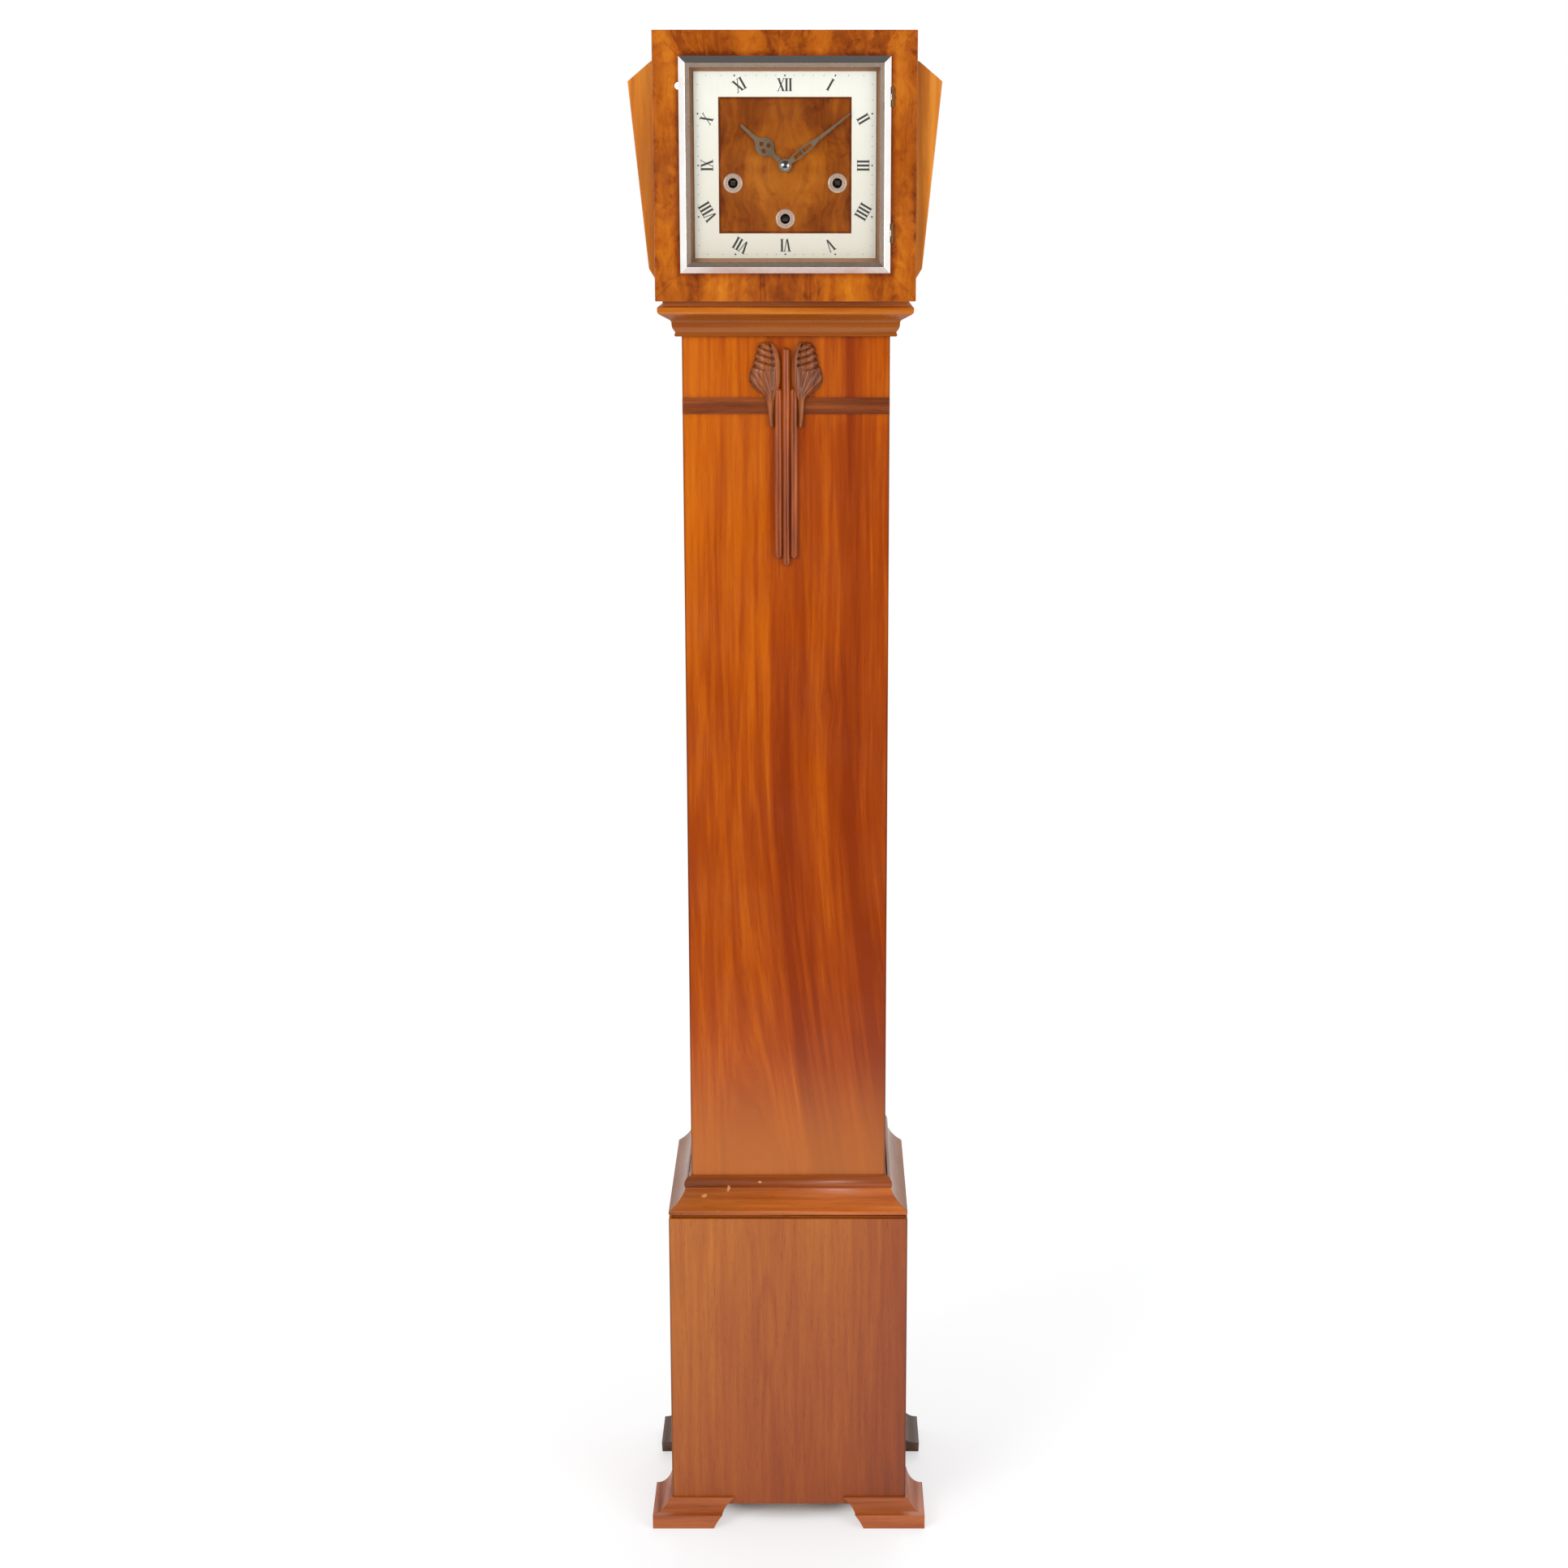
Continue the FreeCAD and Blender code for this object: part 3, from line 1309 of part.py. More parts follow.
def chimes():
    pivotY = backPlateBack + d.hammerPivotBehind
    pivotZ = dialHigh - d.hammerPivotDrop
    rodsY = backPlateBack + d.rodsBehind
    headZ = pivotZ - d.hammerDrop
    headEnd = rodsY - d.rodRadius - d.hammerGap
    headStart = headEnd - d.hammerLength
    wire = d.hammerWire / 2
    earX = d.seatOpeningWidth / 2 + d.hammerEarWidth * 2
    pieces = [rod("x", (-earX, pivotY, pivotZ), d.hammerArborRadius, earX * 2)]
    places = []
    for number in range(3):
        reach = d.rodFirst + d.rodPitch * number
        places += [-reach, reach]
    for across in places:
        left = across - wire
        right = across + wire
        pieces.append(block((left, pivotY - wire, headZ - wire), (right, pivotY + wire, pivotZ)))
        pieces.append(block((left, pivotY - wire, headZ - wire), (right, headStart + wire, headZ + wire)))
        pieces.append(rod("y", (across, headStart, headZ), d.hammerRadius, d.hammerLength))
    keep("chime_hammers", fused(pieces))

    half = d.gongBlockDepth / 2
    keep("gong_block", block(
        (-d.gongBlockWidth / 2, rodsY - half, seatHigh),
        (d.gongBlockWidth / 2, rodsY + half, seatHigh + d.gongBlockHeight)))
    rods = []
    for number, across in enumerate(sorted(places, key=float)):
        length = d.rodLength - d.rodStep * number
        rods.append(rod("z", (across, rodsY, seatHigh - length), d.rodRadius, length))
    keep("chime_rods", group(rods))


def checkAndWrite():
    doc.recompute()
    faults = [item.Name for item in doc.Objects
              if "Invalid" in item.State or "Error" in item.State]
    for name, item in parts.items():
        if item.Shape.isNull() or not item.Shape.isValid() or not item.Shape.Solids:
            faults.append(name)
    if faults:
        raise RuntimeError(f"these did not build: {faults}")
    os.makedirs("parts", exist_ok=True)
    for name, item in parts.items():
        item.Shape.exportStep(os.path.join("parts", f"{name}.step"))
        print(f"{name}: {len(item.Shape.Solids)} solid(s), {item.Shape.Volume / 1000:.1f} cm3")


for make in (trunk, plinth, feet, mouldings, ornament, head, backDoor,
             bezel, dial, hands, plates, windingArbors):
    make()
pendulum(trains())
motionWork()
chimes()
checkAndWrite()
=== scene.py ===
import math
import random

import bmesh
import bpy
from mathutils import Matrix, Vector


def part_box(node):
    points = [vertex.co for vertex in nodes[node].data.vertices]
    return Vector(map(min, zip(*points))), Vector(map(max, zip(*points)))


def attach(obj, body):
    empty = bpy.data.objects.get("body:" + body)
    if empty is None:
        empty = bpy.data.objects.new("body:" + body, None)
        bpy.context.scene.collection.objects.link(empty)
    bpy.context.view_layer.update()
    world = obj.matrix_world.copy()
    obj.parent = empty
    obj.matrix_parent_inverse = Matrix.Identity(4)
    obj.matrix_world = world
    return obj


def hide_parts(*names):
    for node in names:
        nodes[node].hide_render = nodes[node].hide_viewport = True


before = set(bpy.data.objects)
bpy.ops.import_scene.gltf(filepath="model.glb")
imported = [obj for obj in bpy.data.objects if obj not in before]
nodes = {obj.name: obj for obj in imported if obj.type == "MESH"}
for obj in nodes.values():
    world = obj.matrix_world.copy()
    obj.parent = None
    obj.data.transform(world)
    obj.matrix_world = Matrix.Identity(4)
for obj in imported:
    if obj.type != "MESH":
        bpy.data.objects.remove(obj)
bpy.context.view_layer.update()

mm = 0.001
overallRandom = random.Random(7)

# Places on the clock, read from the frame
trunkLow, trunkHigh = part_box("trunk_front")
plinthLow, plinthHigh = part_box("plinth_front")
ringLow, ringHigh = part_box("chapter_ring")
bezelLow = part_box("bezel_frame")[0]
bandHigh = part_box("trunk_band")[1]
corniceLow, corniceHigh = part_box("cornice_moulding")
dialMiddle = (ringLow.z + ringHigh.z) / 2
print(f"frame: {len(nodes)} nodes read")


# A field is a node's output that takes the usual signs, so that a pattern reads as a sum

class Field:
    def __init__(self, socket):
        self.socket = socket
        self.tree = socket.id_data

    def __add__(self, other):
        return calc("ADD", self, other)

    def __sub__(self, other):
        return calc("SUBTRACT", self, other)

    def __rsub__(self, other):
        return calc("SUBTRACT", other, self)

    def __mul__(self, other):
        return calc("MULTIPLY", self, other)

    def __truediv__(self, other):
        return calc("DIVIDE", self, other)

    def __abs__(self):
        return calc("ABSOLUTE", self)


def fill(socket, value):
    # A field or an output is linked, anything else is set on the socket itself
    value = getattr(value, "socket", value)
    if isinstance(value, bpy.types.NodeSocket):
        socket.id_data.links.new(value, socket)
    else:
        socket.default_value = value


def addNode(tree, kind, values=None, **settings):
    item = tree.nodes.new(kind)
    for word, value in settings.items():
        setattr(item, word, value)
    for socket, value in (values or {}).items():
        fill(item.inputs[socket], value)
    return item


def calc(operation, *values):
    tree = next(value.tree for value in values if isinstance(value, Field))
    return Field(addNode(tree, "ShaderNodeMath", dict(enumerate(values)),
                         operation=operation).outputs[0])


def far(across, up):
    return calc("SQRT", across * across + up * up)


def joinAxes(x, y, z):
    return Field(addNode(x.tree, "ShaderNodeCombineXYZ", {0: x, 1: y, 2: z}).outputs[0])


def splitAxes(place):
    return [Field(output) for output in
            addNode(place.tree, "ShaderNodeSeparateXYZ", {0: place}).outputs]


def noise(place, scale, detail=3.0, roughness=0.55, distortion=0.0, shift=(0.0, 0.0, 0.0)):
    # One scale in repeats per metre, or one for each axis
    if isinstance(scale, tuple):
        place = Field(addNode(place.tree, "ShaderNodeMapping", {
            "Vector": place, "Location": shift, "Scale": scale}).outputs[0])
        scale = 1.0
    return Field(addNode(place.tree, "ShaderNodeTexNoise", {
        "Vector": place, "Scale": scale, "Detail": detail, "Roughness": roughness,
        "Distortion": distortion}).outputs["Fac"])


def between(value, low, high, newLow=0.0, newHigh=1.0, kind="LINEAR"):
    return Field(addNode(value.tree, "ShaderNodeMapRange", {
        "Value": value, "From Min": low, "From Max": high, "To Min": newLow, "To Max": newHigh},
        interpolation_type=kind).outputs[0])


def softly(value, low, high, newLow=0.0, newHigh=1.0):
    return between(value, low, high, newLow, newHigh, "SMOOTHERSTEP")


def ridge(value, middle, flat, reach, strength):
    # Full strength within "flat" of the middle, and nothing past "reach"
    return softly(abs(value - middle), flat, reach, strength, 0.0)


def blended(factor, first, second, mode="MIX"):
    return Field(addNode(factor.tree, "ShaderNodeMix", {0: factor, 6: first, 7: second},
                         data_type="RGBA", blend_type=mode).outputs[2])


def paint(colour):
    # sRGB, 0 to 255 as read off a picture, into the linear colour that a shader takes
    line = [c / 255 for c in colour]
    return [c / 12.92 if c <= 0.04045 else ((c + 0.055) / 1.055) ** 2.4 for c in line] + [1.0]


def toneRamp(value, tones):
    # Tones are (place, red, green, blue)
    item = addNode(value.tree, "ShaderNodeValToRGB", {"Fac": value})
    ramp = item.color_ramp
    while len(ramp.elements) < len(tones):
        ramp.elements.new(0.5)
    for element, (place, *colour) in zip(ramp.elements, tones):
        element.position = place
        element.color = paint(colour)
    return Field(item.outputs[0])


def towardsFoot(height, colour, lowTone, ramp):
    # Another tone lower down, as (tone, highest, lowest, strength)
    tone, highest, lowest, strength = lowTone
    return blended(ramp(height, highest, lowest, 0.0, strength), colour, paint(tone))


def startMaterial(name):
    material = bpy.data.materials.new(name)
    material.use_nodes = True
    tree = material.node_tree
    tree.nodes.clear()
    return material, tree, Field(addNode(tree, "ShaderNodeTexCoord").outputs["Object"])


def startShader(name):
    material, tree, place = startMaterial(name)
    shader = addNode(tree, "ShaderNodeBsdfPrincipled")
    addNode(tree, "ShaderNodeOutputMaterial", {"Surface": shader.outputs[0]})
    return material, shader, place


def finishShader(shader, height, strength, distance, values):
    bump = addNode(shader.id_data, "ShaderNodeBump", {
        "Height": height, "Strength": strength, "Distance": distance})
    for word, value in {"Normal": bump.outputs[0], **values}.items():
        fill(shader.inputs[word], value)


def showMix(tree, share, first, second):
    mixed = addNode(tree, "ShaderNodeMixShader", {
        0: share, 1: first.outputs[0], 2: second.outputs[0]})
    addNode(tree, "ShaderNodeOutputMaterial", {"Surface": mixed.outputs[0]})


# Each grain gives (across, through, along) and a broad tone that darkens its figure. Ranges
# below are (from, to, value there, value there) and ridges (middle, flat, reach, strength)

sweep = {
    # Lines hang straight at the top and lean to the right lower down, round one small knot
    "fall": (0.80, 0.38), "bend": 1.5, "shift": 0.046, "lean": (-0.07, -0.012, 0.15, 1.0),
    "knot": (0.040, 0.872), "knotShort": 0.62, "pull": (0.0, 0.020, 0.004, 0.0),
    "push": (-0.008, 0.008, -1.0, 1.0), "waveScale": (9, 9, 1.6), "wave": 0.012,
    # Tones across the join, and painted shade that darkens the trunk towards its foot
    "dark": (-0.018, -0.004, -0.12, 0.85), "streak": (0.070, 0.0, 0.013, 0.8),
    "light": (0.037, 0.0, 0.018, 0.14), "foot": (0.90, 0.52, 0.0, 0.85),
    # Halfway up, the part left of the join and one streak at the right are darker
    "level": (0.81, 0.05, 0.17, 1.0), "left": (0.0, 0.014, 0.40, 0.0),
    "right": (0.054, 0.006, 0.022, 0.75),
    # Above the band the right half is lighter again
    "above": (1.14, 1.17, 0.0, 0.38), "rightHalf": (-0.02, 0.0),
}
loop = {
    # One tall pointed loop, a little left of the middle
    "x": -0.022, "z": 0.218, "tall": 0.050, "wide": 0.009, "pull": (0.0, 4.0, 0.0054, 0.0),
    "push": (-1.4, 1.4, -1.0, 1.0), "line": (1.0, 0.0, 0.45, 0.42),
    # The plinth is painted lighter at the left and top and darker at the right and the foot, painted
    # light and shade, and a stripe near the middle is darker
    "sides": (plinthLow.x, plinthHigh.x, -0.57, 0.57), "fall": (0.34, 0.02, -0.57, 0.57),
    "stripe": (0.020, 0.0, 0.034, 0.36),
}
framing = {
    # Burr on the top rail, plainer stiles, and a lower rail of matched leaves
    "swirlScale": (26, 26, 18), "wander": 0.06, "burr": (0.086, 0.104, 0.35, 1.0),
    "mitre": (0.0003, 0.0009, 0.63, 0.0), "leafHalf": 0.0235, "leafTop": -0.09,
    "leafJoint": (0.0003, 0.0009, 0.8, 0.0),
    # A dark figure in the middle of the top rail with a bright flame either side of it
    "figure": (0.010, 0.026, 1.15, 0.0), "flame": (0.036, 0.0, 0.014, 0.55),
    # Painted shade beside the proud bezel
    "shadeBesideBezel": (0.0985, 0.106, 0.9, 0.0),
}
matching = {
    # Dark sweeps spread to the sides from the middle, and the upper half is a little darker
    "foldBelow": 0.004, "swirlScale": (16, 16, 11), "wander": 0.06, "slant": 0.55,
    "vee": (-0.006, 0.014, 0.0, 0.75), "upper": (-0.012, 0.012, 0.0, 0.22),
    # Painted shade along the panel's edge, beside the proud ring
    "rim": (0.0592, 0.0612, 0.0, 1.1),
}


def uprightGrain(place):
    return place, None


def lyingGrain(place):
    x, y, z = splitAxes(place)
    return joinAxes(z, y, x), None


def sidewaysRun(x, y):
    # 1 on the lengths that run back along the clock's sides, split at the mitre
    return calc("GREATER_THAN", abs(x) - trunkHigh.x, trunkLow.y - y)


def runningGrain(place):
    x, y, z = splitAxes(place)
    side = sidewaysRun(x, y)
    front = 1.0 - side
    return joinAxes(z, x * side + y * front, y * side + x * front), None


def sweepingGrain(place):
    x, y, z = splitAxes(place)
    fall = calc("POWER", between(z, *sweep["fall"]), sweep["bend"])
    lean = fall * sweep["shift"] * softly(x, *sweep["lean"])
    dx = x - sweep["knot"][0]
    dz = (z - sweep["knot"][1]) * sweep["knotShort"]
    push = softly(far(dx, dz), *sweep["pull"]) * softly(dx, *sweep["push"])
    across = x - lean - push
    edge = across + noise(place, sweep["waveScale"]) * sweep["wave"]
    tone = softly(edge, *sweep["dark"]) + ridge(edge, *sweep["streak"])
    # The foot term is painted shade: the trunk is darker lower down
    tone = tone - ridge(edge, *sweep["light"]) + softly(z, *sweep["foot"])
    level = ridge(z, *sweep["level"])
    tone = tone + level * (softly(edge, *sweep["left"]) + ridge(edge, *sweep["right"]))
    tone = tone - softly(z, *sweep["above"]) * between(edge, *sweep["rightHalf"])
    return joinAxes(across, y, z), tone


def cathedralGrain(place):
    x, y, z = splitAxes(place)
    dx = (x - loop["x"]) / loop["wide"]
    ring = far(dx, (z - loop["z"]) / loop["tall"])
    across = x + softly(ring, *loop["pull"]) * softly(dx, *loop["push"])
    # Painted light and shade: lighter to the left and top, darker to the right and the foot
    shadeSlope = between(x, *loop["sides"]) + between(z, *loop["fall"])
    return joinAxes(across, y, z), ridge(ring, *loop["line"]) + shadeSlope + ridge(x, *loop["stripe"])


def framedGrain(place):
    x, y, z = splitAxes(place)
    side = abs(x)
    rise = z - dialMiddle
    burr = softly(rise, *framing["burr"])
    swirl = noise(place, framing["swirlScale"], 4.0, 0.6, 1.4)
    wander = (swirl - 0.5) * framing["wander"] * burr
    mitre = between(abs(side - abs(rise)), *framing["mitre"])
    leafJoint = between(abs(side - framing["leafHalf"]), *framing["leafJoint"])
    leafJoint = leafJoint * calc("LESS_THAN", rise, framing["leafTop"])
    aside = side + wander * 0.4
    figure = softly(aside, *framing["figure"]) - ridge(aside, *framing["flame"])
    beside = calc("MAXIMUM", side, abs(rise))
    tone = calc("MAXIMUM", mitre, leafJoint) + figure * burr
    # The last term is painted shade: the frame is darkened beside the bezel
    return joinAxes(side + wander, y, z * 0.6 + wander), tone + softly(
        beside, *framing["shadeBesideBezel"])


def matchedGrain(place):
    # Four leaves mirrored about the hands' centre
    x, y, z = splitAxes(place)
    side = abs(x)
    rise = abs(z - (dialMiddle - matching["foldBelow"]))
    swirl = noise(joinAxes(side, y, rise), matching["swirlScale"], 2.0, 0.5, 0.4)
    wander = (swirl - 0.5) * matching["wander"]
    upward = z - dialMiddle
    tone = calc("MAXIMUM", softly(side * matching["slant"] - rise + wander, *matching["vee"]),
                softly(upward, *matching["upper"]))
    # Painted shade: the panel darkens at its edge beside the ring
    rim = softly(calc("MAXIMUM", side, abs(upward)), *matching["rim"])
    return joinAxes(side + wander, y, rise + wander), tone + rim


# Woods: "lines" are streaks and bands per metre across the grain, the bands' share and how wavy
# they are, "squeeze" is the share of them per metre along it, and tones run from dark to light
# as (place, red, green, blue)

usualWood = {"grain": uprightGrain, "squeeze": 0.045, "spread": 0.20, "pores": 0.3, "coat": 0.0}
footLook = {"grain": runningGrain, "lines": (120, 22, 0.35, 0.5), "pores": 0.28}
woods = {
    "trunkVeneer": {
        "grain": sweepingGrain, "lines": (165, 13, 0.42, 0.3), "spread": 0.30, "pores": 0.2,
        "roughness": 0.20, "edge": (trunkHigh.x, trunkLow.y),
        "lowTone": ((172, 98, 20), 0.54, 0.37, 0.55),
        "tones": [(0.02, 128, 45, 2), (0.30, 152, 62, 2), (0.56, 179, 86, 2), (0.92, 202, 109, 4)]},
    "trunkSideVeneer": {
        "lines": (90, 16, 0.35, 0.5), "pores": 0.24, "roughness": 0.24,
        "tones": [(0.1, 124, 51, 4), (0.42, 150, 68, 6), (0.65, 168, 84, 8), (0.95, 188, 104, 15)]},
    "topVeneer": {
        "grain": lyingGrain, "lines": (90, 16, 0.35, 0.5), "pores": 0.24, "roughness": 0.30,
        "tones": [(0.1, 124, 56, 8), (0.42, 148, 72, 12), (0.65, 164, 86, 16), (0.95, 182, 104, 26)]},
    "plinthVeneer": {
        "grain": cathedralGrain, "lines": (170, 9, 0.5, 0.8), "spread": 0.34, "pores": 0.34,
        "roughness": 0.32, "edge": (plinthHigh.x, plinthLow.y),
        "tones": [(0.0, 112, 46, 12), (0.35, 136, 61, 14), (0.62, 152, 78, 18), (1.0, 178, 103, 26)]},
    "plinthSolid": {
        **footLook, "roughness": 0.36,
        "tones": [(0.08, 118, 54, 22), (0.45, 148, 74, 33), (0.7, 162, 86, 40), (0.95, 178, 102, 52)]},
    # Painted shade: the rear feet take the feet's wood painted much darker
    "rearFootSolid": {
        **footLook, "roughness": 0.42,
        "tones": [(0.08, 54, 32, 18), (0.45, 76, 47, 28), (0.7, 92, 58, 36), (0.95, 110, 72, 46)]},
    "shoulderSolid": {
        "grain": runningGrain, "lines": (130, 18, 0.45, 0.4), "pores": 0.26,
        # The side tone is painted shade and painted reflection on the lengths at the sides
        "roughness": 0.30, "sideShade": (98, 74, 54), "chips": (226, 158, 104),
        # Painted shade: below the bead the moulding is blended towards a darker tone
        "lowTone": ((112, 50, 14), 0.3655, 0.3675, 0.55),
        "tones": [(0.08, 136, 62, 20), (0.45, 170, 86, 28), (0.7, 188, 102, 38), (0.95, 204, 120, 54)]},
    "corniceSolid": {
        "grain": runningGrain, "lines": (110, 24, 0.4, 0.5), "pores": 0.26,
        # Painted shade: the cornice's cove and lower edge are blended towards a darker tone
        "roughness": 0.26, "lowTone": ((120, 56, 8), 1.257, 1.2535, 0.75),
        "tones": [(0.08, 144, 70, 6), (0.45, 178, 97, 8), (0.7, 196, 114, 14), (0.95, 212, 132, 28)]},
    "headVeneer": {
        "grain": framedGrain, "lines": (90, 24, 0.45, 0.5), "mottle": (56, 0.8),
        "spots": 0.26, "squeeze": 0.14, "pores": 0.2, "roughness": 0.21,
        "tones": [(0.04, 104, 42, 3), (0.34, 142, 66, 5), (0.6, 168, 86, 9), (0.96, 194, 112, 18)]},
    "wingVeneer": {
        "lines": (100, 22, 0.35, 0.5), "pores": 0.22, "roughness": 0.24,
        "tones": [(0.08, 160, 84, 18), (0.45, 188, 108, 28), (0.7, 204, 126, 40), (0.95, 218, 144, 56)]},
    "dialVeneer": {
        "grain": matchedGrain, "lines": (90, 22, 0.55, 0.4), "mottle": (55, 0.3),
        "spots": 0.2, "squeeze": 0.14, "pores": 0.2, "roughness": 0.24,
        "tones": [(0.08, 104, 44, 5), (0.38, 140, 68, 8), (0.62, 164, 87, 12), (0.92, 188, 110, 22)]},
    "bandVeneer": {
        "grain": lyingGrain, "lines": (150, 20, 0.3, 0.4), "pores": 0.35, "roughness": 0.30,
        "tones": [(0.15, 84, 34, 8), (0.45, 108, 48, 12), (0.7, 128, 60, 18), (0.9, 144, 74, 26)]},
    "ornamentWood": {
        "lines": (210, 60, 0.35, 0.4), "roughness": 0.30,
        "tones": [(0.05, 96, 36, 5), (0.40, 128, 54, 9), (0.65, 152, 70, 15), (0.95, 178, 92, 30)]},
    "carvedWood": {
        "lines": (210, 60, 0.35, 0.4), "roughness": 0.34, "carved": 0.40,
        "tones": [(0.02, 72, 32, 8), (0.34, 112, 54, 16), (0.60, 140, 72, 26), (0.95, 176, 104, 54)]},
    # Painted light: the reveal's wood is painted paler, lifting the deep shade in the reveal
    "revealWood": {
        "grain": runningGrain, "lines": (120, 20, 0.3, 0.4), "roughness": 0.38,
        "tones": [(0.15, 130, 60, 10), (0.5, 166, 84, 16), (0.85, 190, 104, 26)]},
    "carcaseWood": {
        "lines": (90, 16, 0.4, 0.5), "pores": 0.4, "roughness": 0.62,
        "tones": [(0.10, 128, 92, 58), (0.45, 152, 114, 76), (0.7, 168, 130, 90), (0.95, 184, 148, 106)]},
    "seatWood": {
        "grain": lyingGrain, "lines": (90, 16, 0.4, 0.5), "pores": 0.4, "roughness": 0.6,
        "tones": [(0.15, 128, 96, 60), (0.5, 158, 124, 82), (0.9, 186, 154, 110)]},
    "backDoorWood": {
        "lines": (95, 18, 0.35, 0.5), "pores": 0.35, "roughness": 0.5, "coat": 0.08,
        "tones": [(0.15, 104, 58, 26), (0.45, 132, 80, 40), (0.7, 150, 96, 52), (0.9, 166, 112, 64)]},
}


polish = {
    "pores": (0.60, 0.72), "poreTone": 0.45, "rays": (0.45, 0.75, 0.0, 0.10), "eyes": (0.56, 0.74),
    "bruises": (0.735, 0.76), "sideShadeShare": 0.6, "wear": (0.3, 0.7), "coatRoughness": 0.16,
    "specular": 0.45, "figureShare": 0.26,
    # Darker on a front veneer's outer edges, in millimetres from the corner
    "edge": (2.2, 0.6), "edgeDepth": (0.8, 2.0), "edgeTone": 0.55,
}


def makeWood(name, look):
    look = {**usualWood, **look}
    material, shader, place = startShader(name)
    x, y, z = splitAxes(place)
    grain, figureTone = look["grain"](place)
    count, wide, share, waviness = look["lines"]
    streaks = noise(grain, (count, count, count * look["squeeze"]), 6.0, 0.62, 0.25)
    bands = noise(grain, (wide, wide, wide * look["squeeze"] * 2.2), 3.0, 0.5, waviness,
                  (3.1, 1.7, 0.4))
    tone = streaks * (1 - share) + bands * share
    tone = between(tone, 0.5 - look["spread"], 0.5 + look["spread"])
    if figureTone:
        tone = tone - figureTone * polish["figureShare"]
    if "mottle" in look:
        size, strength = look["mottle"]
        tone = tone + (noise(place, (size, size, size * 0.8), 4.0, 0.6, 1.1) - 0.5) * strength
        eyes = between(noise(place, size * 1.3, 3.0, 0.55, 0.8), *polish["eyes"])
        tone = tone - eyes * look["spots"]
    if "carved" in look:
        # Painted shade: the carving's hollows are painted dark, and the rim is painted lighter as a
        # highlight
        hollow = addNode(place.tree, "ShaderNodeAttribute", attribute_name="hollow")
        tone = tone - Field(hollow.outputs["Fac"]) * look["carved"]
    colour = toneRamp(tone, look["tones"])
    darkest, lightest = look["tones"][0][1:], look["tones"][-1][1:]
    dark = paint([part * polish["poreTone"] for part in darkest])
    pores = noise(grain, (count * 9, count * 9, count * 0.42), 2.0, 0.5)
    poreLines = between(pores, *polish["pores"])
    colour = blended(poreLines * look["pores"], colour, dark)
    rays = noise(grain, (count * 3, count * 3, count * 1.1), 2.0)
    colour = blended(between(rays, *polish["rays"]), colour, paint(lightest), "SOFT_LIGHT")
    # On the shoulder and cornice this darker tone lower down is painted shade
    if "lowTone" in look:
        colour = towardsFoot(z, colour, look["lowTone"], softly)
    if "chips" in look:
        # Small pale bruises where the polish is gone
        bruise = between(noise(place, 70.0, 2.0, 0.4, 0.6), *polish["bruises"])
        colour = blended(bruise, colour, paint(look["chips"]))
    if "sideShade" in look:
        # Painted shade and painted reflection: the lengths at the clock's sides are painted duller and
        # greyer than the one in front
        colour = blended(sidewaysRun(x, y) * polish["sideShadeShare"], colour, paint(look["sideShade"]))
    if "edge" in look:
        half, front = look["edge"]
        out = softly(abs(x), *[half - gap * mm for gap in polish["edge"]], 0.0, polish["edgeTone"])
        near = between(y, *[front + gap * mm for gap in polish["edgeDepth"]], 1.0, 0.0)
        colour = blended(out * near, colour, dark)
    rough = between(noise(place, 14.0, 4.0), *polish["wear"], look["roughness"] - 0.04,
                    look["roughness"] + 0.05)
    finishShader(shader, streaks * 0.35 - pores * 0.8, 0.06, 0.0004, {
        "Base Color": colour, "Roughness": poreLines * 0.06 + rough, "Coat Weight": look["coat"],
        "Coat Roughness": polish["coatRoughness"], "Specular IOR Level": polish["specular"]})
    return material


# Metals and paints: tone, worn tone, roughness from and to, brush marks per metre (or on each
# axis), share of metal, spots and relief

